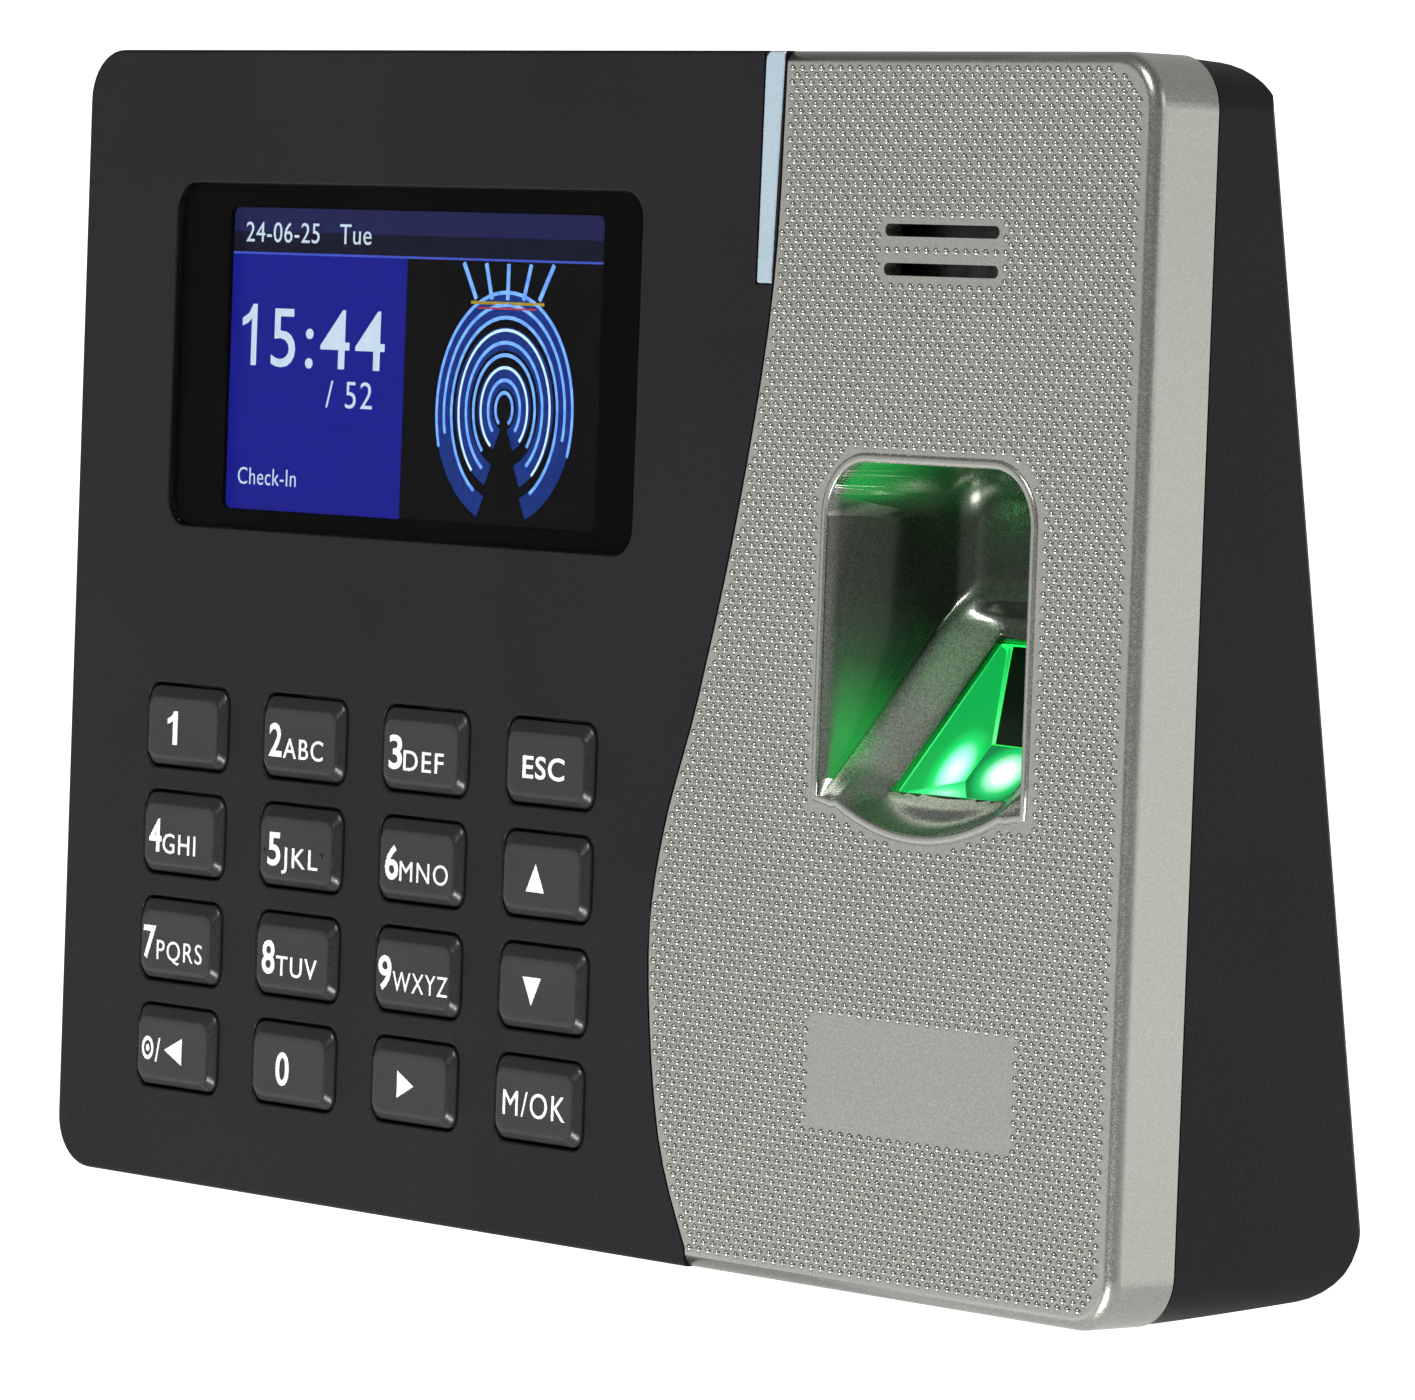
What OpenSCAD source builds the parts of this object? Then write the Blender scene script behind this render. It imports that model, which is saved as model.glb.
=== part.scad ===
// Wall-mounted time and attendance clock: keypad and colour screen on the
// left, finger well with an optical reader on the right, wedge-shaped case.
//
// Row frame: +Z up, the front looks along -Y, the wall plane is y = 0 and the
// origin is the centre of the wall plate's four screw holes. The front face
// leans back by lean degrees, so most pieces are drawn in a face frame:
// x across, y depth behind the front face, z up along it from its lower edge.

/* [Case] */
// Width of the front face
face_w = 184; // [182:0.5:188]
// Height of the front face
face_h = 134; // [133:0.5:136]
// Depth of the case at its lower edge, square to the front face
depth_low = 39; // [38:0.5:42]
// Angle between the front face and the wall
lean = 9.32; // [9:0.02:9.6]
// Corner radius of the front outline
corner_r = 6; // [5:0.5:7]
// Depth of the front half of the case
band_d = 9; // [8.8:0.1:9.4]
// Wall of the front plate
plate_t = 2.6; // [2.5:0.05:2.7]
// Wall of the case sides
wall_t = 2.2; // [2:0.1:2.4]

/* [Screen] */
// Width of the screen lens
lens_w = 84.4; // [80:0.2:86]
// Height of the screen lens
lens_h = 40.2; // [38:0.2:42]
// Width of the lit picture
lit_w = 68; // [60:0.5:69]
// Height of the lit picture
lit_h = 35.4; // [30:0.2:36]

/* [Keypad] */
// Sideways pitch of the keys
key_px = 22.3; // [22:0.1:22.6]
// Upward pitch of the keys
key_pz = 12.7; // [12.6:0.1:13]
// Width of a key opening
well_w = 15.6; // [15.2:0.1:16]
// Height of a key opening
well_h = 10; // [9.8:0.1:10.2]
// Gap round a key cap
key_gap = 0.3; // [0.2:0.05:0.4]
// How far a key cap stands out
key_up = 0.8; // [0.6:0.05:1]

/* [Finger well] */
// Width of the finger well
fw_w = 32.2; // [31:0.2:33]
// Height of the finger well
fw_h = 36.5; // [35:0.5:37]
// Depth of the finger well
fw_d = 20.5; // [19:0.5:20.5]
// Slope of the finger ramp
ramp_a = 48; // [47:0.5:49]
// Width of the reader window
win_w = 18; // [17:0.5:18.5]
// Length of the reader window
win_l = 22; // [20:0.5:22]

/* [Wall plate] */
// Pitch of the wall screw holes, both ways
wall_pitch = 60; // [58:0.1:62]
// Radius of a wall screw hole
wall_hole_r = 2.25; // [2:0.05:2.5]
// Thickness of the wall plate
wp_t = 1.5; // [1.2:0.1:1.6]

/* [Hidden] */

cl = cos(lean);
sl = sin(lean);
back_y = depth_low * cl;      // wall plane, before the shift to the row frame
mid_z = 61.6;                 // height of the wall pattern above the lower edge
band_gap = 0.3;               // parting line
// Left edge of the silver cover: points down the front face, x and z
div_ctrl = [[33.8, 140], [33.75, 134], [32.8, 108.6], [28.5, 84.6], [22.8, 63],
  [17.7, 47.7], [15.9, 34], [18.6, 14], [24.8, 0], [27.6, -6]];
lens_c = [-31.7, 98.1];
lit_c = [-30.85, 97.9];
key_c0 = [-68.7, 54];
fw_c = [59.3, 71.55];
fw_bot = 53.3;                // height at which the ramp meets the front face
tr_d = 2.1;                   // depth of the trough in the ramp
tr_r = 40;                    // radius of the trough
spk_c = [59.8, 112.7];
boss_c = [[-84.5, 8.5], [-84.5, 125.5], [84.5, 8.5], [84.5, 125.5]];
post_c = [[-57.55, 47.65], [-12.95, 47.65], [-57.55, 22.25], [-12.95, 22.25]];
ear_c = [[-71.6, 84], [-71.6, 112], [9.9, 84], [9.9, 112]];
mb_c = [[-58, 10], [26.5, 10], [-58, 66], [26.5, 66]];
hook_c = [[-18, 20], [18, 20], [-18, -16], [18, -16]];
sec_x = 33.5;                 // security screw
sec_y = -7;
stake_c = [[30, 8], [60, 8], [84, 30], [84, 66], [84, 100], [38.5, 100], [28, 30]];

function crom(p0, p1, p2, p3, t) = 0.5 * (2 * p1 + (p2 - p0) * t
  + (2 * p0 - 5 * p1 + 4 * p2 - p3) * t * t + (3 * p1 - p0 - 3 * p2 + p3) * t * t * t);
div_pts = [for (i = [1:len(div_ctrl) - 3]) for (j = [0:4])
  crom(div_ctrl[i - 1], div_ctrl[i], div_ctrl[i + 1], div_ctrl[i + 2], j / 5)];

// Face frame to row frame
module face() translate([0, -back_y, -mid_z]) rotate([-lean, 0, 0]) children();
// Extrude an (x, z) outline from depth y0 to depth y1
module ext(y0, y1) translate([0, y1, 0]) rotate([90, 0, 0]) linear_extrude(height = y1 - y0) children();
// Extrude a (y, z) profile from x0 to x1
module across(x0, x1) translate([x0, 0, 0]) rotate([90, 0, 90]) linear_extrude(height = x1 - x0) children();
// Cylinder along the depth
module pin(c, y0, y1, r) translate([c[0], y0, c[1]]) rotate([-90, 0, 0]) cylinder(r = r, h = y1 - y0, $fn = 32);
module box(x0, x1, y0, y1, z0, z1) translate([x0, y0, z0]) cube([x1 - x0, y1 - y0, z1 - z0]);
module rr(w, h, r) {
  square([w - 2 * r, h], center = true);
  square([w, h - 2 * r], center = true);
  for (i = [-1, 1], j = [-1, 1]) translate([i * (w / 2 - r), j * (h / 2 - r)]) circle(r = r, $fn = 32);
}
module outline(o) translate([0, face_h / 2]) rr(face_w - 2 * o, face_h - 2 * o, max(corner_r - o, 1));
module left_side(dx) polygon(concat([[div_ctrl[1][0] + dx, face_h + 6]], [for (p = div_pts) [p[0] + dx, p[1]]],
  [[div_ctrl[8][0] + dx, -6], [-face_w, -6], [-face_w, face_h + 6]]));
module right_side(dx) polygon(concat([[div_ctrl[1][0] + dx, face_h + 6]], [for (p = div_pts) [p[0] + dx, p[1]]],
  [[div_ctrl[8][0] + dx, -6], [face_w, -6], [face_w, face_h + 6]]));
module key_at(c, r) translate([key_c0[0] + c * key_px, 0, key_c0[1] - r * key_pz]) children();
// Frame of the reader window: x across, y up the slope, z out of the glass
module reader() translate([fw_c[0], 12.1, 62.5]) rotate([ramp_a, 0, 0]) children();
// Frame of the ramp's two ridges, at the lower edge of the well
module ramp() translate([fw_c[0], 0, fw_bot]) rotate([ramp_a, 0, 0]) children();

module light_shape(g) polygon([[30.3 - g, face_h + 1], [33.55 + g, face_h + 1], [32.55 + g, 108.6 - g], [30.05 - g, 108.6 - g]]);

// ---- outer pieces ----
module front_housing() color([0.12, 0.12, 0.13]) face() difference() {
  union() {
    intersection() { ext(0, plate_t) outline(0); ext(-1, 4) left_side(0); }
    // side walls
    difference() {
      intersection() { ext(0, band_d) outline(0); ext(-1, band_d + 1) left_side(0); }
      ext(-1, band_d + 1) outline(wall_t);
    }
    // step down to the plate that carries the silver cover
    intersection() { ext(0.5, 4.6) outline(wall_t + 0.2); ext(0, 5) left_side(0); ext(0, 5) right_side(-3); }
    intersection() { ext(2.8, 4.6) outline(wall_t + 0.3); ext(2, 5) right_side(-3); }
    for (c = boss_c) pin(c, c[0] < 0 ? 2 : 3.2, 12, 3.5);
    for (c = post_c) pin(c, 2, 6.6, 2);
    for (c = ear_c) pin(c, 2, 5.4, 2.2);
    // ledge round the screen
    ext(plate_t - 0.5, 3.4) difference() { translate(lit_c) rr(79.5, 47.5, 2); translate(lit_c) rr(77.1, 45.1, 1.2); }
  }
  ext(-1, 1.6) translate(lens_c) rr(lens_w + 0.3, lens_h + 0.3, 3.15);
  ext(-1, 5) translate(lit_c) rr(lit_w + 2.4, lit_h + 2.2, 1.5);
  for (c = [0:3], r = [0:3]) key_at(c, r) ext(-1, 4) rr(well_w, well_h, 1.9);
  ext(-1, 6) light_shape(0.1);
  box(39.4, 79.2, 2, 6, 37, 93.6);
  pin(spk_c, 2, 6, 9.8);
  for (c = stake_c) pin(c, 2, 6, 1.35);
  for (c = boss_c) pin(c, 5.4, 13, 1.5);
  for (c = post_c) pin(c, 3.4, 7, 1.05);
  for (c = ear_c) pin(c, 3, 6, 1.05);
}

// Space of the finger well, grown by g, with its back edges rounded
module fw_cut(g) let (hw = fw_w / 2 + g, top = fw_c[1] + fw_h / 2 + g, r = 4 + g,
    q = arc([hw - r, fw_d - r], r, 0, 90, 8)) intersection() {
  translate([fw_c[0], 0, 0]) ext(-1 - g, fw_d) union() {
    translate([0, fw_c[1]]) rr(2 * hw, fw_h + 2 * g, 6 + g);
    translate([-hw, fw_bot - g]) square([2 * hw, 12]);
  }
  translate([fw_c[0], 0, 20]) linear_extrude(height = 90)
    polygon(concat([[hw + 1, -4], [hw + 1, 0], [hw, 1]], q, [for (i = [8:-1:0]) [-q[i][0], q[i][1]]], [[-hw, 1], [-hw - 1, 0], [-hw - 1, -4]]));
  across(30, 90) polygon(concat([[-4, 30], [fw_d, 30]], arc([fw_d - r, top - r], r, 0, 90, 8), [[1, top], [0, top + 1], [-4, top + 1]]));
}
// Shallow finger trough below the ramp's ridge plane
module trough() ramp() intersection() {
  translate([0, -20, tr_r - tr_d]) rotate([-90, 0, 0]) cylinder(r = tr_r, h = 48.5, $fn = 96);
  translate([-20, -20, -6]) cube([40, 60, 6.01]);
}
module side_fascia() color([0.62, 0.63, 0.6]) face() difference() {
  union() {
    difference() {
      intersection() { ext(0, band_d) outline(0); ext(-1, band_d + 1) right_side(0.3); }
      ext(2.4, band_d + 1) outline(wall_t);
    }
    for (c = stake_c) pin(c, 2, 5.6, 1.2);
  }
  difference() { fw_cut(0); ramp() translate([-30, -30, -20]) cube([60, 80, 20]); }
  trough();
  for (z = [114.8, 110.6]) translate([0, 0, z]) ext(-1, 4) translate([spk_c[0], 0]) rr(18, 1.36, 0.67);
  ext(-1, 8) light_shape(0.1);
}

module finger_well() color([0.58, 0.6, 0.57]) face() difference() {
  union() {
    difference() { translate([0, 1.3, 0]) fw_cut(1.3); ext(-5, 2.4) translate([0, 67]) square([400, 400], center = true); }
    ext(2.4, 3.9) translate(fw_c) rr(fw_w + 6.6, fw_h + 6.6, 4);
    intersection() {
      ramp() translate([-fw_w / 2 - 1.3, -5, -5]) cube([fw_w + 2.6, 40, 5]);
      box(40, 79, 2.4, fw_d + 1.3, 40, 92);
    }
  }
  difference() { fw_cut(0); ramp() translate([-30, -30, -20]) cube([60, 80, 20]); }
  // open underside below the ramp
  intersection() {
    ramp() translate([-fw_w / 2, -60, -65]) cube([fw_w, 120, 60]);
    box(40, 79, -5, 40, 30, 92);
  }
  ramp() translate([-fw_w / 2 - 10, -60, -65]) cube([fw_w + 20, 62, 60]);
  trough();
  reader() translate([-win_w / 2 - 0.15, -win_l / 2 - 0.15, -8]) cube([win_w + 0.3, win_l + 0.3, 20]);
  for (s = [-1, 1]) reader() translate([s * 14.2, -4, -8]) cylinder(r = 1.05, h = 8.6, $fn = 32);
}

// Side profile of the rear half in (y, z) of the row frame, inset by o
function arc(c, r, a0, a1, n) = [for (i = [0:n]) let (a = a0 + (a1 - a0) * i / n) c + r * [cos(a), sin(a)]];
function side_prof(o) = let (
    up = arc([-6, 62.16], 6 - o, 76.88, 0, 7),
    low = arc([-9, -55.19], 9 - o, 0, -94.32, 9))
  concat([up[0] + 50 * [-cos(13.12), sin(13.12)]], up, low, [low[9] + 50 * [-cos(4.32), sin(4.32)]]);
function top_prof(o) = let (q = max(1.2 - o, 0.5), e = face_w / 2 - 0.1 - o, r = arc([e - q, -o - q], q, 0, 90, 7))
  concat([[e, -60], [e, -40]], r, [for (i = [7:-1:0]) [-r[i][0], r[i][1]]], [[-e, -40], [-e, -60]]);
module shell_form(o) intersection() {
  face() ext(o > 1 ? 5 : band_d + band_gap, 60) outline(0.12 + o);
  across(-100, 100) polygon(side_prof(o));
  translate([0, 0, -100]) linear_extrude(height = 200) polygon(top_prof(o));
}
module rear_shell() color([0.1, 0.1, 0.11]) difference() {
  union() {
    difference() {
      shell_form(0);
      shell_form(2);
    }
    // tongue inside the front half
    face() ext(7.6, band_d + band_gap) difference() { outline(wall_t + 0.15); outline(3.6); }
    face() ext(band_d + 0.2, 11) difference() { outline(2.2); outline(3.6); }
    intersection() {
      shell_form(0.5);
      union() {
        // pocket for the wall plate
        translate([-41, -4, -53]) cube([82, 4, 94]);
        face() for (c = boss_c) pin(c, 12.1, 40, 4.4);
        face() for (c = mb_c) pin(c, 14.6, 40, 3);
        translate([sec_x, sec_y, -66]) cylinder(r = 4.2, h = 15.4, $fn = 32);
      }
    }
  }
  translate([-39, -2, -51]) cube([78, 5, 90]);
  for (c = hook_c) translate([c[0] - 4.4, -6, c[1] - 4.8]) cube([8.8, 5, 6.1]);
  translate([sec_x - 4.6, -11.6, -50.4]) cube([9.2, 11, 2.6]);
  translate([sec_x, sec_y, -70]) cylinder(r = 1.6, h = 22, $fn = 32);
  translate([sec_x, sec_y, -70]) cylinder(r = 3, h = 8.6, $fn = 32);
  face() {
    for (c = boss_c) { pin(c, 14, 42, 3); pin(c, 11, 42, 1.7); }
    for (c = mb_c) pin(c, 13, 22, 1.25);
    box(-44.3, -27.7, 14.4, 28.3, -3, 6);
    box(-16.9, -3.1, 14.4, 21, -3, 6);
    box(5.2, 14.8, 14.4, 26, -3, 6);
    translate([20, 18, -3]) cylinder(r = 1.25, h = 8, $fn = 32);
  }
}

module light_bar() color([0.72, 0.8, 0.85]) face() union() {
  intersection() { ext(0, 4.6) light_shape(0); ext(-1, 5) outline(0); }
  box(30.6, 32.4, 4.6, 6, 110, 131);
}
module light_bar_board() color([0.1, 0.4, 0.2]) face() union() {
  box(29, 35, 7, 8, 107, 128);
  for (z = [111, 117.5, 124]) box(30.4, 32.6, 6.2, 7, z - 1, z + 1);
}

// ---- screen ----
module screen_lens() color([0.03, 0.03, 0.05]) face() ext(0.1, 1.6) translate(lens_c) rr(lens_w, lens_h, 3);
module lcd_panel() color([0.15, 0.2, 0.45]) face() union() {
  box(lit_c[0] - 38, lit_c[0] + 38, plate_t + 0.05, 5.3, lit_c[1] - 22, lit_c[1] + 22);
  box(lit_c[0] - lit_w / 2, lit_c[0] + lit_w / 2, 2, plate_t + 0.05, lit_c[1] - lit_h / 2, lit_c[1] + lit_h / 2);
}
module lcd_bracket() color([0.7, 0.7, 0.72]) face() difference() {
  union() {
    box(lit_c[0] - 39, lit_c[0] + 39, 5.4, 6.2, lit_c[1] - 22.5, lit_c[1] + 22.5);
    for (c = ear_c) pin(c, 5.4, 6.2, 2.6);
    for (c = ear_c) box(min(c[0], c[0] < 0 ? -69 : 7), max(c[0], c[0] < 0 ? -69 : 7), 5.4, 6.2, c[1] - 2.6, c[1] + 2.6);
  }
  box(lit_c[0] - 30, lit_c[0] + 30, 5, 7, lit_c[1] - 16, lit_c[1] + 14);
  for (c = ear_c) pin(c, 5, 7, 1.2);
}

// ---- keypad ----
module key_cap(c, r, tone) color(tone) face() key_at(c, r) union() {
  hull() {
    ext(0, 0.5) rr(well_w - 2 * key_gap, well_h - 2 * key_gap, 1.6);
    translate([0, 0, -0.25]) ext(-key_up, -key_up + 0.1) rr(13.4, 7.1, 1.3);
  }
  ext(0.4, 3) rr(well_w - 2 * key_gap, well_h - 2 * key_gap, 1.6);
  ext(2.75, 3.5) rr(17, 11.3, 1.2);
  pin([0, 0], 3.4, 5, 2.7);
}
key_tone = [0.25, 0.25, 0.27];
module keypad_mat() color([0.55, 0.55, 0.57]) face() difference() {
  union() {
    box(-79, 10.5, 5.4, 6.6, 8, 62);
    for (c = [0:3], r = [0:3]) key_at(c, r) pin([0, 0], 4.6, 5.5, 4);
  }
  for (c = [0:3], r = [0:3]) key_at(c, r) pin([0, 0], 4, 6.2, 3.1);
  for (c = post_c) pin(c, 5, 7, 2.3);
}
module keypad_board() color([0.1, 0.42, 0.22]) face() difference() {
  union() {
    box(-78, 12, 6.6, 8.2, 7, 63);
    box(-48, -34, 8.2, 10.2, 56, 60);
  }
  for (c = post_c) pin(c, 6, 9, 1.2);
}
module strip(x0, x1, pts, t) across(x0, x1) polygon(concat(pts, [for (i = [len(pts) - 1:-1:0]) pts[i] + [t, 0.1]]));
module keypad_flex() color([0.85, 0.6, 0.25]) face()
  strip(-46, -36, [[9, 55.9], [9.6, 53], [11, 50.5], [11.9, 47.5], [12, 45.1]], 0.3);
module display_flex() color([0.85, 0.6, 0.25]) face()
  strip(-38, -22, [[6.3, 84], [6.6, 79], [8, 75.5], [10.2, 72.5], [11.9, 69], [12, 65.1]], 0.3);

// ---- electronics ----
module main_board() color([0.08, 0.4, 0.2]) face() difference() {
  box(-62, 30, 13, 14.6, 6, 70);
  for (c = mb_c) pin(c, 12, 16, 1.5);
}
module board_chips() color([0.08, 0.08, 0.09]) face() union() {
  box(-19, -3, 14.6, 16, 40, 56);
  box(4, 16, 14.6, 15.8, 42, 54);
  box(-22, -12, 14.6, 15.7, 28, 34);
  box(-4, 4, 14.6, 15.7, 26, 34);
  box(-44, -36, 14.6, 15.8, 27, 32);
  box(12, 22, 14.6, 16.4, 22, 31);
  box(-10, -2, 14.6, 15.6, 60, 66);
}
module board_capacitors() color([0.5, 0.52, 0.56]) face() union() {
  for (c = [[8, 34], [20, 60], [12, 62]]) pin(c, 14.6, 20.6, 3.1);
  for (c = [[-26, 44], [-26, 38], [-52, 22]]) pin(c, 14.6, 18.8, 2);
}
module board_connectors() color([0.86, 0.85, 0.8]) face() union() {
  box(-39, -21, 11.2, 13, 61, 65);
  box(-47, -35, 11.2, 13, 41, 45);
  box(22, 29.5, 14.6, 19, 36, 44);
  box(24, 29.5, 14.6, 19, 48, 54);
}
module coin_cell_holder() color([0.12, 0.12, 0.13]) face() difference() {
  union() { pin([-44, 50], 14.6, 18.6, 11.6); box(-57.5, -30.5, 14.6, 17.2, 47, 53); }
  pin([-44, 50], 15.2, 19, 10.25);
}
module coin_cell() color([0.78, 0.78, 0.76]) face() union() {
  pin([-44, 50], 15.3, 18.1, 10);
  pin([-44, 50], 18.1, 18.5, 8.6);
}
module usb_port() color([0.75, 0.76, 0.78]) face() difference() {
  box(-16.55, -3.45, 14.6, 20.4, 2.6, 16.6);
  difference() {
    box(-16.1, -3.9, 15.1, 19.9, 2, 14.6);
    box(-15, -5, 17.8, 19.2, 4.2, 15);
  }
}
module ethernet_jack() color([0.72, 0.73, 0.75]) face() difference() {
  box(-44, -28, 14.6, 28, 2.6, 23.6);
  box(-41.9, -30.1, 17.4, 25.4, 2, 15.6);
  box(-39, -33, 15.8, 17.5, 2, 15.6);
  box(-37.6, -34.4, 15.1, 15.9, 2, 11);
}
module dc_jack() color([0.1, 0.1, 0.1]) face() difference() {
  box(5.5, 14.5, 14.6, 25.6, 2.6, 17);
  difference() {
    translate([10, 20.2, 2]) cylinder(r = 3.2, h = 11, $fn = 32);
    translate([10, 20.2, 3.6]) cylinder(r = 1.05, h = 11, $fn = 32);
  }
}
module reset_switch() color([0.2, 0.2, 0.2]) face() union() {
  box(17, 23, 14.6, 21, 6.9, 10.6);
  translate([20, 18, 5.8]) cylinder(r = 1.1, h = 1.2, $fn = 32);
}
module reset_button() color([0.85, 0.85, 0.85]) face() union() {
  translate([20, 18, 1.9]) cylinder(r = 1, h = 3.4, $fn = 32);
  translate([20, 18, 3.9]) cylinder(r = 1.8, h = 0.7, $fn = 32);
}

// ---- sound ----
module speaker() color([0.3, 0.3, 0.32]) face() union() {
  pin(spk_c, 5.6, 8.2, 11.5);
  pin(spk_c, 8, 10.6, 8);
  pin(spk_c, 10.4, 11.6, 6.2);
  box(spk_c[0] - 4, spk_c[0] + 4, 8.2, 9, spk_c[1] - 14, spk_c[1] - 8);
}
module speaker_gasket() color([0.15, 0.15, 0.15]) face() difference() {
  pin(spk_c, 4.6, 5.6, 11.3);
  pin(spk_c, 4, 6, 9.2);
}
// Tube of radius r (or a flat ribbon w by t) along a path
function ring(p, d, sec) = let (n = d / norm(d), a0 = cross([0.1, 1, 0.05], n), a = a0 / norm(a0), b = cross(n, a))
  [for (s = sec) p + s[0] * a + s[1] * b];
module sweep(path, sec) {
  m = len(sec); k = len(path);
  pts = [for (i = [0:k - 1]) let (d = path[min(i + 1, k - 1)] - path[max(i - 1, 0)]) each ring(path[i], d, sec)];
  polyhedron(points = pts, faces = concat(
    [[for (j = [0:m - 1]) j]], [[for (j = [m - 1:-1:0]) (k - 1) * m + j]],
    [for (i = [0:k - 2], j = [0:m - 1]) [i * m + j, (i + 1) * m + j, (i + 1) * m + (j + 1) % m, i * m + (j + 1) % m]]), convexity = 4);
}
function path_of(c, n) = [for (i = [1:len(c) - 3]) for (j = [0:n - 1]) crom(c[i - 1], c[i], c[i + 1], c[i + 2], j / n)];
function circ(r, m) = [for (j = [0:m - 1]) [r * cos(360 * j / m), r * sin(360 * j / m)]];
module speaker_wires() color([0.75, 0.1, 0.1]) face() {
  sweep(path_of([[58.6, 8, 104], [58.6, 8.6, 98.6], [57, 11, 96.4], [46, 14.5, 95], [36.5, 15.5, 88], [35, 16, 70], [34, 16.6, 56], [29.6, 16.6, 52], [20, 16.6, 50]], 4), circ(0.6, 8));
  sweep(path_of([[61, 8, 104], [61, 8.6, 98.6], [59, 13, 97], [48, 16.4, 96.6], [38.5, 17.2, 89], [37, 17.6, 70], [36, 18, 53], [29.6, 18.2, 49.6], [20, 18.2, 48]], 4), circ(0.6, 8));
}

// ---- reader ----
module sensor_prism() color([0.3, 0.95, 0.45]) face() reader() across(-win_w / 2, win_w / 2)
  polygon([[-win_l / 2, 0], [win_l / 2, 0], [win_l / 2, -4], [3, -9], [-win_l / 2, -9]]);
module sensor_housing() color([0.1, 0.1, 0.1]) face() reader() difference() {
  union() {
    across(-11.4, 11.4) polygon([[-13, -2.4], [13, -2.4], [13, -6.6], [4.4, -14.8], [-13, -14.8]]);
    for (s = [-1, 1]) translate([s * 13.5 - 2.4, -7, -4.4]) cube([4.8, 6, 2]);
  }
  across(-9.6, 9.6) polygon([[-11.2, -2], [11.2, -2], [11.2, -5.4], [3.4, -13.2], [3.4, -16], [-11.2, -16]]);
  for (s = [-1, 1]) translate([s * 14.2, -4, -5]) cylinder(r = 1.2, h = 4, $fn = 32);
}
module sensor_board() color([0.1, 0.3, 0.5]) face() reader() union() {
  translate([-11.4, -13, -16.4]) cube([22.8, 17.4, 1.6]);
  translate([-4, -12, -18.4]) cube([11, 4, 2]);
}
module sensor_leds() color([0.75, 1, 0.8]) face() reader() for (s = [-1, 1]) translate([s * 5.4, -8.2, -14.8]) union() {
  cylinder(r = 1.9, h = 1, $fn = 32);
  cylinder(r = 1.5, h = 3.2, $fn = 32);
  translate([0, 0, 3.2]) sphere(r = 1.5, $fn = 32);
}
module sensor_camera() color([0.05, 0.05, 0.06]) face() reader() translate([0, -1.6, -14.8]) difference() {
  union() { translate([-3.6, -3.6, 0]) cube([7.2, 7.2, 2]); cylinder(r = 2.9, h = 4.6, $fn = 32); }
  translate([0, 0, 4]) cylinder(r = 1.6, h = 1, $fn = 32);
}
module sensor_cable() color([0.8, 0.8, 0.82]) face()
  sweep(path_of([[62, 15.5, 45], [58, 17.6, 40.6], [50, 18.2, 38.6], [44, 18.2, 39], [37, 17.2, 40], [29.6, 16.8, 40], [22, 16.8, 40]], 4), [[-0.45, -3], [0.45, -3], [0.45, 3], [-0.45, 3]]);

// ---- fasteners ----
module case_screws() color([0.75, 0.75, 0.78]) face() for (c = boss_c) difference() {
  union() { pin(c, 6, 14.1, 1.45); pin(c, 14, 16, 2.75); }
  translate([c[0] - 1.7, 15.2, c[1] - 0.35]) cube([3.4, 2, 0.7]);
  translate([c[0] - 0.35, 15.2, c[1] - 1.7]) cube([0.7, 2, 3.4]);
}
module small_screw(c, y0, y1, y2) difference() {
  union() { pin(c, y0, y1 + 0.1, 1); pin(c, y1, y2, 1.9); }
  translate([c[0] - 1.1, y2 - 0.6, c[1] - 0.25]) cube([2.2, 2, 0.5]);
  translate([c[0] - 0.25, y2 - 0.6, c[1] - 1.1]) cube([0.5, 2, 2.2]);
}
module small_screws() color([0.6, 0.6, 0.63]) face() {
  for (c = post_c) small_screw(c, 3.7, 8.2, 9.5);
  for (c = ear_c) small_screw(c, 3.2, 6.2, 7.5);
}
module board_screws() color([0.75, 0.75, 0.78]) face() for (c = mb_c) difference() {
  union() { pin(c, 12.9, 20.5, 1.2); pin(c, 11.4, 13, 2.5); }
  translate([c[0] - 1.4, 10.6, c[1] - 0.3]) cube([2.8, 1.5, 0.6]);
  translate([c[0] - 0.3, 10.6, c[1] - 1.4]) cube([0.6, 1.5, 2.8]);
}
module sensor_screws() color([0.75, 0.75, 0.78]) face() reader() for (s = [-1, 1]) translate([s * 14.2, -4, 0]) difference() {
  union() { translate([0, 0, -4.5]) cylinder(r = 1, h = 4.7, $fn = 32); translate([0, 0, -5.8]) cylinder(r = 1.9, h = 1.4, $fn = 32); }
  translate([-1.1, -0.25, -6.4]) cube([2.2, 0.5, 1.2]);
  translate([-0.25, -1.1, -6.4]) cube([0.5, 2.2, 1.2]);
}

// ---- wall side ----
module wall_plate() color([0.7, 0.71, 0.73]) difference() {
  union() {
    translate([0, 0, -6]) ext(-wp_t, 0) rr(76, 88, 3);
    for (c = hook_c) {
      translate([c[0] - 4, -5.8, c[1]]) cube([8, 5, 1.2]);
      translate([c[0] - 4, -5.8, c[1]]) cube([8, 1.2, 4.6]);
    }
    translate([sec_x - 4, -11, -50]) cube([8, 10.4, 1.5]);
  }
  for (i = [-1, 1], j = [-1, 1]) translate([i * wall_pitch / 2, 1, j * wall_pitch / 2]) rotate([90, 0, 0]) cylinder(r = wall_hole_r, h = 4, $fn = 48);
  translate([sec_x, sec_y, -52]) cylinder(r = 1.5, h = 5, $fn = 32);
  for (c = hook_c) translate([c[0] - 4, -3, c[1] + 1.2]) cube([8, 4, 5.4]);
}
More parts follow.
